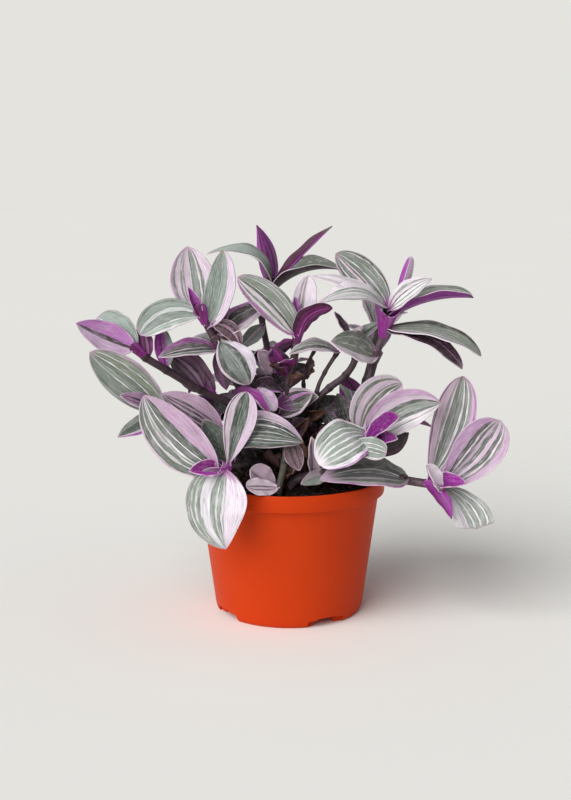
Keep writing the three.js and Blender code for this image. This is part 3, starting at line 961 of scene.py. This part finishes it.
# ---- leaves of the front left shoot ----
# Three leaves grow at the end of a stem that leans over the rim. The lowest, which is the widest of
# all, hangs in front of the rim.
grown_leaf(
    "front_left_1", (-41, -61, 102), (-84, -58, 146), (-1, -9, 3), 30,
    sway=-5, taper=0.7, foot_reach=0.1,
    top=(
        "4 blush, 12 7f877d, 3 white, 9 848c84, 3 white, 3 sage, 4 white, 11 80867f, 2 white, 12 6a726a, "
        "4 dark, 33 c7a6c2"
    ),
)
grown_leaf(
    "front_left_2", (-36, -57, 104), (-25, -46, 146), (1, -9, 1), 19,
    fold=8, taper=0.6, rise=1.1, tip_start=0.97,
    top="4 blush, 4 dark, 19 dfcdda, 19 4a564b, 3 sage, 22 566257, 29 d8c2d6",
)
grown_leaf(
    "front_left_3", (-38, -60, 102), (-37, -68, 57), (0, -9, 4), 36,
    arch=5, sway=5, fold=8, rise=0.5, foot_reach=0.1,
    top=(
        "37 efe2ee, 2 sage, 3 efe2ee, 8 9aa79c, 2 white, 8 a3afa4, 16 f0ebf1, 6 a4aea2, 2 white, "
        "6 98a397, 2 white, 8 98a397"
    ),
)

# ---- leaves of the front shoot ----
# A long arched leaf crosses in front of the stems above the rim, and a small striped one stands
# behind it.
grown_leaf(
    "front_1", (-35, -31, 115), (8, -48, 116), (0, -7, 6), 26,
    arch=10, tip_dye="8a5a3a", tip_start=0.95,
    top=(
        "14 c4aac0, 3 green, 4 cdb8c6, 10 3f423d, 2 white, 13 434842, 3 silver, 8 565d55, 2 silver, "
        "8 666e65, 3 white, 8 525a52, 2 silver, 14 4e564e"
    ),
)
grown_leaf(
    "front_2", (-6, -5, 124), (14, -12, 139), (0, -8, 5), 13,
    arch=-2, fold=15,
    top="18 rose, 26 4a4843, 3 silver, 15 6f706a, 3 silver, 12 706a64, 14 blush",
)

# ---- leaves of the front right shoot ----
# The stem ends in three leaves: a short broad one turns down in front and two rise behind it.
# They are striped in silver-green and white, with pink towards the margins.
grown_leaf(
    "front_right_1", (46, -35, 117), (17, -52, 104), (-1, -8, 5), 30,
    arch=9, fold=10, taper=0.55, tip_dye="ece2ea", tip_start=0.86, foot_reach=0.06, wave=1.1,
    top=(
        "4 magenta, 9 ece6ec, 12 8a948a, 3 white, 10 98a299, 3 white, 9 8d978d, 4 f0ecf0, 9 9da79e, "
        "3 white, 9 98a299, 3 white, 14 8f9a90, 5 e8e2e8"
    ),
)
grown_leaf(
    "front_right_2", (43, -33, 117), (68, -24, 147), (1, -9, 1), 28,
    sway=-6, taper=0.6, foot_dye="blush",
    top=(
        "12 e0d0dd, 8 7b8479, 16 dcc6d6, 5 78806f, 4 e4d4e0, 10 78806f, 2 white, 8 6c7468, 20 dfcedb, "
        "7 7b8479, 8 e6dce4"
    ),
)
grown_leaf(
    "front_right_3", (47, -35, 116), (90, -34, 137), (-1, -9, 4), 26,
    arch=2, sway=-5, fold=15, taper=0.7, tip_dye="8f6a58", tip_start=0.96,
    top=(
        "14 c39bbf, 4 b8a0b4, 14 d0bccc, 7 5c635b, 10 90958d, 2 silver, 11 90958d, 8 687068, 10 e8e0e4, "
        "3 sage, 17 e8e0e4"
    ),
)

# ---- leaves of the right shoot ----
# A stem lies over the rim and ends in three leaves, two standing and one turned down; another
# leaf lies back along it.
grown_leaf(
    "right_1", (70, -27, 88), (18, -50, 94), (0, -6, 8), 26,
    arch=7, fold=10, taper=0.75, rise=0.5, tip_dye="bb9cb3", tip_start=0.82, foot_dye="green",
    top=(
        "4 magenta, 10 c4bcbe, 10 7c847a, 8 c4bcbe, 14 78807a, 3 white, 8 868e84, 3 white, 12 6a6e67, "
        "28 848c84"
    ),
)
grown_leaf(
    "right_2", (84, -30, 88), (105, -20, 151), (0, -9, 1), 27,
    sway=3, fold=18, taper=0.6, rise=0.95, tip_dye="8f5a40", tip_start=0.955, curl=(0, 90),
    curl_from=0.72,
    top=(
        "5 8c5a88, 5 blush, 14 d4bbcc, 6 sage, 4 blush, 12 7c8279, 3 silver, 14 838a81, 4 white, "
        "10 70776f, 3 white, 8 878e86, 9 ccaac6, 6 b04cae"
    ),
    under="20 8a5080, 56 6f2f66, 24 a83ca8",
)
grown_leaf(
    "right_3", (92, -34, 86), (125, -42, 128), (-1, -9, 3), 31,
    sway=2, fold=18, taper=0.5, rise=0.9, tip_dye="c2a8bf",
    top=(
        "24 b994b8, 9 575c55, 3 blush, 5 606660, 7 bca6b8, 8 697168, 10 cdb8c8, 9 575d56, 3 blush, "
        "5 788076, 17 c6a8c2"
    ),
)
grown_leaf(
    "right_4", (91, -33, 86), (111, -50, 64), (3, -8, 3), 25,
    sway=-4, taper=0.15, rise=0.9, tip_dye="8f8a70", tip_start=0.95,
    top=(
        "14 a6aca5, 4 white, 14 98a098, 5 white, 14 9ba39b, 5 white, 12 a6aea6, 4 white, 10 cfc4cc, "
        "18 e4dfe3"
    ),
    under="60 6a3260, 40 a040a0",
)

# ---- leaves of the back shoots ----
# Two cuttings lean out behind, so that the pot is clothed on that side as well. Three of their
# leaves hang down over the rim.
grown_leaf(
    "back_left_1", (-55, 58, 112), (-86, 66, 111), (-2, 3, 9), 24,
    arch=6,
    top="14 pink, 26 sage, 3 white, 20 silver, 4 white, 20 green, 13 blush",
)
grown_leaf(
    "back_left_2", (-51, 56, 113), (-18, 69, 122), (1, 3, 9), 20,
    arch=6, fold=15,
    top="22 blush, 18 green, 3 white, 22 sage, 10 blush, 25 pink",
)
grown_leaf(
    "back_left_3", (-52, 58, 110), (-56, 69, 66), (-2, 9, 3), 24,
    arch=5, fold=10,
    top="10 pink, 24 silver, 4 white, 24 sage, 12 white, 12 green, 14 blush",
)
grown_leaf(
    "back_left_4", (-42, 44, 112), (-66, 28, 128), (-1, 3, 9), 18,
    arch=5, fold=15,
    top="20 sage, 4 white, 24 dark, 14 blush, 38 lilac",
)
grown_leaf(
    "back_right_1", (53, 59, 106), (86, 66, 103), (2, 3, 9), 24,
    arch=6,
    top="12 blush, 20 sage, 4 white, 30 silver, 4 white, 30 sage",
)
grown_leaf(
    "back_right_2", (50, 57, 107), (36, 70, 137), (0, 9, 1), 20,
    arch=6, fold=15,
    top="30 lilac, 14 dark, 24 sage, 3 white, 12 sage, 17 blush",
)
grown_leaf(
    "back_right_3", (50, 60, 105), (44, 70, 58), (2, 9, 3), 24,
    arch=5, fold=10,
    top="14 sage, 12 blush, 24 green, 3 white, 20 sage, 27 pink",
)
grown_leaf(
    "back_right_4", (3, 58, 108), (31, 68, 112), (1, 4, 8), 22,
    arch=6,
    top="18 blush, 20 moss, 3 silver, 22 sage, 4 white, 33 blush",
)
grown_leaf(
    "back_right_5", (1, 57, 107), (-6, 70, 62), (0, 9, 3), 23,
    arch=4, fold=10,
    top="30 e0c8da, 10 dark, 24 sage, 3 white, 10 sage, 23 blush",
)

# ---- shoots at the back and sides ----
# More cuttings stand behind and beside, so the plant is nearly as full there as in front. Their
# leaves alternate up the stem, the lower ones hanging outwards and larger, the youngest upright.
back_tops = [
    "10 blush, 20 sage, 3 white, 24 silver, 4 white, 22 sage, 17 pink",
    "34 d3bacb, 8 moss, 20 sage, 3 white, 18 green, 17 blush",
    "14 silver, 18 sage, 6 blush, 20 green, 3 white, 24 sage, 15 blush",
    "24 blush, 12 dark, 4 blush, 24 sage, 2 white, 14 sage, 20 lilac",
]
back_chance = random.Random(5)
hindmost = 77


def back_shoot(name, route, leaves, longest):
    """A stem along route with leaves, each given as its share of the stem and its heading in degrees.

    A heading of 0 is right and 90 is straight back.
    """
    stem(name + "_stem", [[2.2, *route]], low="2c2422", high="54424a")
    points = curve_through(route, 10)
    # Up the stem the leaves stand ever steeper and are ever shorter.
    for i, (share, heading) in enumerate(leaves):
        rank = i / (len(leaves) - 1)
        place = round(share * (len(points) - 1))
        spot = points[place]
        axis = (points[min(place + 1, len(points) - 1)] - points[place - 1]).normalized()
        outward = Vector((math.cos(math.radians(heading)), math.sin(math.radians(heading)), 0))
        lean = math.radians(98 - 60 * rank + back_chance.uniform(-6, 6))
        reach = axis * math.cos(lean) + outward * math.sin(lean)
        length = longest * (1 - 0.42 * rank) * back_chance.uniform(0.92, 1.06)
        foot = spot + outward * 2
        tip = foot + reach * length
        tip.y = min(tip.y, hindmost)
        faces = axis + outward * 0.5 + Vector((0, 0, 0.4))
        leaf(
            f"{name}_leaf_{i + 1}", foot, tip, faces, length * back_chance.uniform(0.52, 0.62),
            back_tops[back_chance.randrange(4)], arch=length * back_chance.uniform(0.1, 0.17),
            sway=back_chance.uniform(-2, 2), fold=back_chance.uniform(10, 22), foot_reach=0.1,
            cuts=(18, 28),
        )


back_shoot(
    "rear_left",
    [(-12, 12, 84), (-22, 16, 118), (-33, 20, 148), (-44, 24, 174), (-48, 26, 184)],
    [(0.4, 150), (0.5, 60), (0.6, 128), (0.7, 34), (0.8, 110), (0.92, 130), (1, 75)],
    43,
)
back_shoot(
    "rear_middle",
    [(0, 16, 84), (-4, 20, 110), (-8, 26, 132), (-10, 30, 144)],
    [(0.45, 62), (0.56, 140), (0.67, 95), (0.78, 35), (0.9, 145), (1, 80)],
    43,
)
back_shoot(
    "rear_right",
    [(28, 12, 80), (38, 16, 112), (48.5, 19, 142), (54, 21, 163), (57, 23, 176)],
    [(0.28, 60), (0.36, 95), (0.68, 80), (0.76, 135), (0.86, 50), (0.94, 120), (1, 85)],
    42,
)
back_shoot(
    "rear_low_left",
    [(-22, 14, 78), (-36, 22, 96), (-50, 28, 106), (-58, 33, 110)],
    [(0.4, 100), (0.52, 168), (0.64, 70), (0.76, 140), (0.88, 100), (1, 170)],
    41,
)
back_shoot(
    "rear_low_right",
    [(30, 16, 78), (44, 22, 96), (56, 28, 108), (64, 32, 112)],
    [(0.4, 82), (0.52, 20), (0.64, 110), (0.76, 50), (0.88, 95), (1, 10)],
    41,
)
back_shoot(
    "side_left",
    [(-22, -4, 78), (-38, 0, 96), (-54, 5, 106), (-62, 7, 110)],
    [(0.4, 120), (0.52, 200), (0.64, 100), (0.76, 190), (0.88, 130), (1, 175)],
    38,
)
back_shoot(
    "side_right",
    [(32, -4, 78), (44, 2, 96), (56, 8, 106), (62, 11, 110)],
    [(0.4, 60), (0.52, 55), (0.64, 85), (0.76, 40), (0.88, 70), (1, 50)],
    31,
)

# ---- small leaves and buds ----
# Young leaves still rolled in their buds, side shoots low on the stems and leaves seen from below.
# They fill the gaps between the full-grown ones and clasp the stems in the same way.
leaf("upper_left_bud", (-54, -14, 186), (-61, -17, 205), (3, -8, 0), 9, "50 8a2480, 50 magenta", fold=48)
leaf("upper_left_inner", (-46, -8, 170), (-37, 0, 198), (-3, -8, 3), 11, "20 rose, 80 lilac", fold=25)
leaf(
    "upper_left_low", (-47, -14, 182), (-30, -13, 167), (1, -9, 3), 11,
    "20 7a5a68, 14 3e3034, 16 b48aa4, 12 3e3034, 38 6e5058", tip_dye="6a4a40", fold=22, arch=1, sway=-4,
)
leaf("upper_left_low_2", (-16, 11, 178), (-30, -4, 166), (0, -8, 3), 10, "40 silver, 20 blush, 40 sage")
leaf(
    "upper_left_hanging", (-43, -13, 167), (-38, -22, 143), (2, 9, 2), 13,
    under="30 40233a, 14 6f2f66, 56 3a2034", fold=14,
)
leaf("center_bud", (6, -8, 184), (3.2, -10, 199), (1, -8, 0), 5, "50 magenta, 50 rose", fold=20)
leaf(
    "center_lower", (4, -5, 170), (-13, -10, 162), (2, 7, 6), 11,
    under="24 823672, 30 40233a, 20 6f2f66, 26 40233a", fold=16,
)
leaf(
    "upper_right_lower", (58, -8, 176), (104, -24, 156), (0, -3, 9), 19, "34 563147, 3 b89ab0, 63 4a2f40",
    under="50 2e1c26, 50 40233a", arch=8, fold=14, taper=0.6, foot_dye="night",
)
leaf(
    "upper_right_back", (59, -6, 190), (14, -14, 211), (0, -6, 8), 12,
    "40 eee6ea, 8 silver, 30 f0e6ee, 22 d4cfd2", under="60 e6dce4, 10 c9a3c6, 30 e6dce4", arch=5, fold=16,
)
leaf("mid_right_tip", (38, 4, 171), (28, 7, 187), (2, -8, 3), 6, "50 plum, 50 40233a", fold=40)
leaf("mid_right_tip_2", (40, 3, 169), (56, 2, 181), (0, -6, 6), 9, "40 silver, 20 moss, 40 sage", fold=25)
leaf("mid_right_tip_3", (39, 4, 169), (45, -2, 179), (0, -6, 6), 7, "60 blush, 40 silver", fold=30)
leaf(
    "center_low_shoot", (-8, -8, 130), (18, -8, 136), (0, -8, 4), 15,
    "12 blush, 26 dark, 4 silver, 26 5c625a, 4 silver, 28 moss", under="60 magenta, 40 563147",
    tip_dye="blush", foot_reach=0.5, fold=16, arch=-2, sway=-2,
)
leaf(
    "left_lower", (-86, -24, 162), (-90, -20, 183), (2, 9, 0), 12, "50 pink, 50 rose",
    under="12 8e3484, 10 40233a, 14 a56a98, 10 40233a, 16 8a4a7c, 10 40233a, 28 6f2f66", fold=18,
)
leaf(
    "left_inner", (-52, -18, 141), (-73, -12, 163), (1, 9, 1), 16, fold=16,
    under="12 5e4458, 9 2e1c26, 11 8a6a86, 10 2e1c26, 14 5e4458, 12 241820, 32 46303e",
)
leaf(
    "left_lower_2", (-74, -21, 156), (-78, -12, 181), (1, -8, 1), 12,
    "30 magenta, 10 6a2468, 26 magenta, 34 8e9a90", fold=20, tip_dye="a9b3a8",
)
leaf(
    "low_left_small", (-75, -42, 134), (-98, -58, 146), (0, -7, 6), 12,
    "30 c59fc0, 8 40233a, 20 c59fc0, 8 40233a, 34 c59fc0", fold=20,
)
leaf(
    "low_left_hanging", (-74, -43, 133), (-100, -56, 121), (0, -8, 5), 12,
    "12 magenta, 16 c9bcc8, 40 moss, 32 sage", fold=14,
)
leaf("front_left_bud", (-39, -60, 102), (-58, -66, 103), (1, -7, 5), 14, "50 magenta, 50 deep", fold=42)
leaf("front_left_inner", (-33, -52, 104), (-51, -44, 129), (1, -8, 3), 16, "40 dark, 60 moss", fold=20)
leaf(
    "front_curled", (-35, -14, 139), (-12, -31, 130), (4, 5, 8), 14, "30 d2bbcb, 40 ecdfe8, 30 d2bbcb",
    under="30 8a2a80, 12 5f1f58, 26 7a2872, 32 8e3488", fold=40, curl=(45, 35), arch=3, foot_dye="5a2c50",
    foot_reach=0.5,
)
leaf(
    "front_curled_tip", (-20, -20, 143), (-8, -26, 131), (1, -8, 3), 12, "30 c4a8c4, 50 cfbacf, 20 b793b5",
    under="50 magenta, 50 rose", fold=14, taper=0.6, foot_dye="pink",
)
leaf(
    "front_small", (-7, -46, 88), (-25, -60, 92), (0, -7, 7), 13,
    "30 ecd6e2, 9 7c6c76, 14 ecd6e2, 7 7c6c76, 40 f2deea", fold=4, taper=0.5, foot_dye="pink",
)
leaf(
    "front_small_2", (-9, -42, 88), (-23, -48, 100), (2, -8, 4), 15, "30 b79fb0, 14 8a7884, 56 c9b0c2",
    fold=22, taper=0.45,
)
# Its pinkish brown is the leaf's own colour, dyed darker as painted shade.
leaf(
    "front_stem_leaf", (0, -43, 115), (6, -48, 99), (0, -9, 1), 12,
    "24 6e525a, 10 40303a, 24 7e5e68, 10 40303a, 32 866c76", fold=18,
)
leaf(
    "front_stem_leaf_2", (0, -42, 116), (-8, -38, 127), (0, -9, 1), 9,
    "34 8a6e76, 20 6a5a58, 46 9a8088", fold=25,
)
leaf(
    "front_right_bud", (46, -39, 115), (65, -45, 131), (-2, -7, 5), 18, "46 a032a0, 8 742070, 46 862084",
    fold=56, taper=0.35, foot_dye="blush",
)
leaf(
    "front_right_lobe", (36, -44, 113), (57, -51, 110), (0, -7, 6), 15,
    "10 silver, 16 8f9a90, 4 white, 14 98a299, 4 white, 14 8d978d, 4 white, 24 9da79e, 10 white",
    fold=8, taper=0.4, arch=2, foot_dye="sage",
)
leaf(
    "front_right_bud_2", (47, -38, 115), (64, -47, 118), (2, -7, 5), 12, "50 deep, 50 magenta", fold=35,
    under="50 54204c, 50 782d66",
)
leaf(
    "front_right_below", (50, -32, 115), (72, -29, 118), (0, 8, 2), 22, "50 moss, 50 dark",
    under="16 5e4252, 12 3a3a34, 8 4a3a44, 64 2a2c26", sway=-4, taper=1, foot_dye="night",
    tip_dye="7a5568",
)
leaf("right_stem_leaf", (25, -34, 95), (7, -45, 90), (0, -8, 5), 10, "60 sage, 40 b8a8b0", fold=18)
leaf(
    "right_stem_leaf_2", (14, -35, 94), (13, -42, 118), (5, -7, 0), 12,
    "40 b8a0b0, 14 7a6672, 46 c8b4c0", fold=30, tip_dye="e8dccb", tip_start=0.84,
)
leaf("right_bud", (87, -37, 89), (105, -48, 91), (-1, -7, 5), 14, "50 magenta, 50 deep", fold=45)
leaf(
    "right_curl", (90, -42, 85), (81, -50, 103), (5, -7, 1), 12, "40 f0e6ee, 30 e8dae6, 30 f0e6ee", fold=34,
    under="50 magenta, 50 rose", curl=(50, -10), foot_dye="pink", taper=0.5,
)
leaf(
    "right_fold", (81, -37, 89), (96, -53, 71), (3, 9, 1), 11, "50 blush, 50 pink", fold=42, sway=2,
    under="34 7a2478, 36 8a2a88, 30 a844a8", foot_dye="magenta", tip_dye="magenta", taper=0.9,
)
leaf(
    "inner_arched", (-5, -4, 137), (-24, -12, 136), (0, -5, 8), 15, "16 magenta, 34 dark, 50 40233a",
    under="50 2e1c26, 50 40233a", arch=8, fold=14, foot_dye="night",
)
leaf(
    "inner_curled", (-12, 6, 149), (-19, -4, 164), (4, -8, 1), 12,
    "20 e2bcd6, 60 f0d8e8, 20 e2bcd6", under="50 d8a8cc, 50 e2bcd6", fold=30,
    curl=(50, 50), taper=0.4, foot_dye="pink",
)
leaf(
    "inner_purple", (-2, -5, 148), (-11, -11, 168), (3, 8, 2), 14,
    under="24 40233a, 16 8e2480, 14 5f2a58, 46 7a2870", fold=20,
)
leaf(
    "inner_purple_2", (2, -5, 154), (-6, -12, 158), (2, 6, 8), 13,
    under="30 8e2480, 40 4a2438, 30 8e2480", fold=24,
)

# Old leaves that have withered on the stems, brown, rolled and twisted.
withered = {"foot_dye": "3a241c", "tip_dye": "6e4636", "edge_dye": "4e3226", "wave": 1.2}
for name, at, tip, faces, width, turn in [
    ("withered_leaf", (-3, -4, 150), (-12, -10, 156), (2, -6, 4), 10, 60),
    ("withered_leaf_2", (1, -5, 143), (9, -10, 150), (-2, -6, 4), 9, -60),
    ("withered_leaf_3", (12, -22, 96), (22, -34, 108), (-1, -6, 6), 10, 40),
    ("withered_leaf_4", (10, 2, 146), (14, -2, 160), (4, -6, 0), 6, 80),
    ("withered_leaf_5", (2, -14, 104), (14, -26, 101), (0, 2, 8), 11, 50),
    ("withered_leaf_6", (-16, -16, 100), (-6, -34, 98), (1, 0, 8), 12, -40),
    ("withered_leaf_7", (10, 6, 118), (22, -8, 128), (0, -6, 6), 10, 70),
    ("withered_leaf_8", (-4, -38, 92), (8, -43, 101), (0, -8, 3), 9, -50),
    ("withered_leaf_9", (14, 2, 104), (22, -12, 118), (0, -8, 3), 13, 30),
    ("withered_leaf_10", (14, 2, 108), (30, -10, 112), (1, -7, 5), 12, -40),
    ("withered_leaf_11", (-2, -2, 104), (12, -12, 124), (-1, -8, 2), 12, 20),
    ("withered_leaf_12", (34, -8, 98), (20, -16, 110), (0, -7, 5), 12, 50),
]:
    leaf(
        name, at, tip, faces, width, "40 5e3c2c, 20 7c5440, 40 5e3c2c", under="50 3a241c, 50 5a3a2e",
        fold=42, curl=(70, 60), twist=turn, **withered,
    )

# Shaded leaves low on the stems, which close the heart of the plant. Their dark green and purple
# is painted shade, far darker than a lit leaf. The last two lie on the soil at the back and
# darken the far rim with painted shade.
painted_shade_tops = [
    "10 402439, 30 242823, 3 4a524a, 30 242823, 27 402439",
    "20 2e322d, 4 5c615a, 24 1f221e, 12 4e3549, 40 2e322d",
    "34 402439, 12 1a1c19, 20 4e3549, 10 1a1c19, 24 402439",
    "30 262a25, 6 625e65, 34 262a25, 30 583e54",
]
shaded_leaves = [
    ((-8, 12, 125), (-32, 6, 148), (1, -8, 4), 17),
    ((-8, 12, 118), (-30, 22, 132), (1, -7, 6), 18),
    ((-10, 12, 138), (12, 16, 152), (0, -8, 4), 15),
    ((-8, 12, 112), (14, 22, 130), (-1, -8, 4), 19),
    ((14, 3, 112), (-2, 10, 136), (2, -8, 1), 17),
    ((14, 3, 118), (32, 12, 132), (0, -8, 5), 16),
    ((14, 3, 104), (2, -10, 124), (2, -8, 2), 16),
    ((37, -7, 105), (22, -2, 126), (1, -8, 4), 16),
    ((39, -7, 112), (30, 4, 136), (2, -8, 1), 14),
    ((37, -6, 104), (54, 6, 128), (-1, -8, 4), 19),
    ((37, -6, 100), (60, 4, 108), (-1, -7, 6), 18),
    ((-18, -12, 108), (-36, 2, 128), (1, -8, 3), 19),
    ((-18, -12, 106), (-44, -8, 116), (1, -8, 5), 18),
    ((-12, -10, 98), (-22, -22, 122), (3, -8, 1), 17),
    ((-4, -2, 108), (-16, -10, 128), (2, -8, 1), 16),
    ((-3, -1, 100), (8, -8, 120), (-2, -8, 1), 14),
    ((30, -16, 92), (20, -20, 112), (1, -8, 3), 15),
    ((34, -24, 98), (52, -16, 104), (-1, -7, 6), 17),
    ((-27, -12, 135), (-14, -2, 148), (-1, -8, 3), 12),
    ((-30, -14, 128), (-46, -4, 134), (0, -8, 4), 14),
    ((14, 2, 96), (26, 26, 112), (0, -3, 8), 18),
    ((-4, 6, 98), (-24, 30, 110), (1, -3, 8), 18),
    ((-6, 10, 104), (-6, 38, 120), (0, -4, 8), 17),
    ((-10, -20, 86), (-26, -38, 94), (1, -6, 7), 15),
    ((18, -22, 88), (30, -38, 98), (-1, -6, 7), 14),
    ((38, -4, 90), (52, -14, 94), (-1, -5, 8), 14),
    ((-6, 12, 98), (-36, 34, 106), (1, -7, 4), 24),
    ((-8, 12, 100), (-14, 42, 112), (0, -7, 4), 24),
    ((-16, -10, 96), (-44, 4, 108), (1, -7, 4), 20),
    ((12, 2, 98), (8, 42, 116), (0, -7, 4), 24),
    ((34, -4, 92), (48, 28, 104), (-1, -7, 4), 24),
    ((-5, 12, 106), (22, 38, 126), (0, -8, 3), 22),
    ((-4, 20, 92), (-9, 50, 97), (0, -7, 5), 26),
    ((-24, 14, 90), (-36, 43, 96), (0, -7, 5), 24),
]
for i, (at, tip, faces, width) in enumerate(shaded_leaves):
    # Their undersides, feet, tips and margins are dyed near black as well: painted shade.
    leaf(
        f"shaded_leaf_{i + 1}", at, tip, faces, width, painted_shade_tops[i % 4],
        under="30 35192f, 16 562350, 54 24141e", cuts=(16, 26), arch=3, fold=16, foot_dye="24101e",
        tip_dye="402439", edge_dye="4c3248",
    )

# ---- leaf sheaths ----
# The foot of each leaf is a thin closed collar round the stem, pale with magenta lines, and a dry
# papery one stays on the stem after its leaf has gone.
def collar(name, low, high, mouth, lines, dye="deep", lobes=0.35, ears=1, turn=0):
    """A sheath from low to high, in millimetres, that widens to the radius mouth.

    lobes is how far its edge rises and falls, as a share of its height, in so many ears.
    """
    rows, columns, throat = 12, 24, 2.2
    axis = Vector(high) - Vector(low)
    points = [Vector(low) + axis * (i / rows) for i in range(rows + 1)]
    radii = [throat + (mouth - throat) * (i / rows) ** 1.3 for i in range(rows + 1)]
    wrap = tube(name, points, radii, columns)
    for i, vertex in enumerate(wrap.data.vertices):
        row, column = divmod(i, columns + 1)
        lobe = math.sin(2 * math.pi * (ears * column / columns + turn)) * (row / rows) ** 3
        vertex.co += axis * (lobes * lobe) * mm
    sew(close_ends=False)
    seed = random.Random(name).uniform(0, 90)
    flecks = ("a070a0", "4a2438")
    skin = leaf_skin(name + "_skin", read_stripes(lines), "blush", "blush", flecks, seed, dye, 0.7, 0.98)
    wrap.data.materials.append(skin)
    thicken(wrap, 0.45 * mm)
    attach(wrap, "root")


striped_collar = "20 rose, 8 magenta, 14 c78fc4, 8 magenta, 20 rose, 8 deep, 14 c78fc4, 8 magenta"
purple_collar = "30 6a1b5d, 20 9b4396, 20 563147, 30 7a2870"
brown_collar = "30 4a363c, 20 6a5058, 20 3a2a30, 30 5a4248"
collar("top_collar", (-14.5, 12, 193), (-12, 11.2, 205), 5.0, "30 3d2530, 20 6a1b5d, 50 2e1c20", "plum")
collar("upper_left_collar", (-51, -12, 182), (-54, -13, 190.5), 4.4, purple_collar, lobes=0.5)
collar("upper_left_collar_2", (-41, -12, 164), (-45, -12.4, 172), 3.2, brown_collar, "3a2a30")
collar("center_collar", (4.2, -5, 168), (5.4, -5.4, 177), 4.0, purple_collar, "563147")
collar(
    "upper_right_collar", (56.8, -8, 173), (59.6, -9.4, 192), 9.5,
    "24 9b4396, 10 b868b4, 30 9b4396, 36 b050b0", lobes=0.24, ears=2, turn=0.25,
)
collar("upper_right_collar_2", (50.4, -7.8, 154), (53.4, -8, 163), 3.5, brown_collar, "4a363c")
collar("left_collar", (-86, -24.8, 163), (-92.6, -26.2, 169.6), 3.2, purple_collar)
collar("low_left_collar", (-69, -40.4, 132), (-75.6, -42.2, 134.6), 3.5, purple_collar)
collar("front_left_collar", (-35, -55, 103), (-42, -60.6, 103.4), 4.2, striped_collar)
collar("front_right_collar", (42.6, -32.8, 112.4), (47.6, -34.4, 118), 4.0, striped_collar)
collar("right_collar", (82, -29.6, 87.2), (92, -33.4, 86.4), 4.2, striped_collar)
collar("right_collar_2", (64, -27.2, 90), (70.6, -26.4, 88), 3.6, brown_collar, "5a4248")
collar("back_left_collar", (-47, 50, 113), (-54, 58, 112.2), 3.8, striped_collar)
collar("back_right_collar", (46, 52, 108), (52, 60, 106.4), 3.8, striped_collar)
collar("back_right_collar_2", (4, 52, 107), (2, 58, 108.2), 3.6, striped_collar)

# ---- studio ----
# A pale matt floor that runs into an even pale background, a broad soft lamp from the front left
# and a weak even fill.
bpy.ops.mesh.primitive_plane_add(size=12, location=(0, 0, 0))
floor = bpy.context.object
floor.name = "studio_floor"
# Matt paper: it has no gloss at all, and its tone is hardly uneven.
paper, paper_shader = new_material("matt_paper")
paper_place = node(paper, "TexCoord").outputs["Object"]
tone = node(paper, "TexNoise", {"Vector": paper_place, "Scale": 3, "Detail": 1})
paper_dyes = {"Factor": tone, "A": colour("fbfaf5"), "B": colour("f9f8f3")}
paper_dye = node(paper, "Mix", paper_dyes, data_type="RGBA")
paper_shader.inputs["Roughness"].default_value = 1
paper_shader.inputs["Specular IOR Level"].default_value = 0
feed(paper_shader, {"Base Color": paper_dye})
floor.data.materials.append(paper)

key_light = bpy.data.lights.new("key", "SUN")
key_light.energy = 3.0
key_light.angle = math.radians(60)
key = bpy.data.objects.new("key", key_light)
bpy.context.collection.objects.link(key)
key.rotation_euler = Vector((-0.62, -0.72, 0.64)).to_track_quat("Z", "Y").to_euler()

world = bpy.data.worlds.new("studio")
bpy.context.scene.world = world
world.use_nodes = True
fill = world.node_tree.nodes["Background"]
fill.inputs["Color"].default_value = colour("ffffff")
fill.inputs["Strength"].default_value = 0.28
backdrop = node(world, "Background", {"Color": colour("e4e3de"), "Strength": 1})
seen = node(world, "LightPath").outputs["Is Camera Ray"]
skies = node(world, "MixShader", [seen, fill, backdrop])
feed(world.node_tree.nodes["World Output"], {"Surface": skies})
bpy.context.scene.view_settings.view_transform = "Standard"

lens = bpy.data.cameras.new("camera")
lens.lens = 61.9
lens.clip_start = 0.02
camera = bpy.data.objects.new("camera", lens)
bpy.context.collection.objects.link(camera)
camera.location = (-0.0023, -0.841, 0.286)
camera.rotation_euler = (math.radians(90 - 10.33), 0, 0)
bpy.context.scene.camera = camera
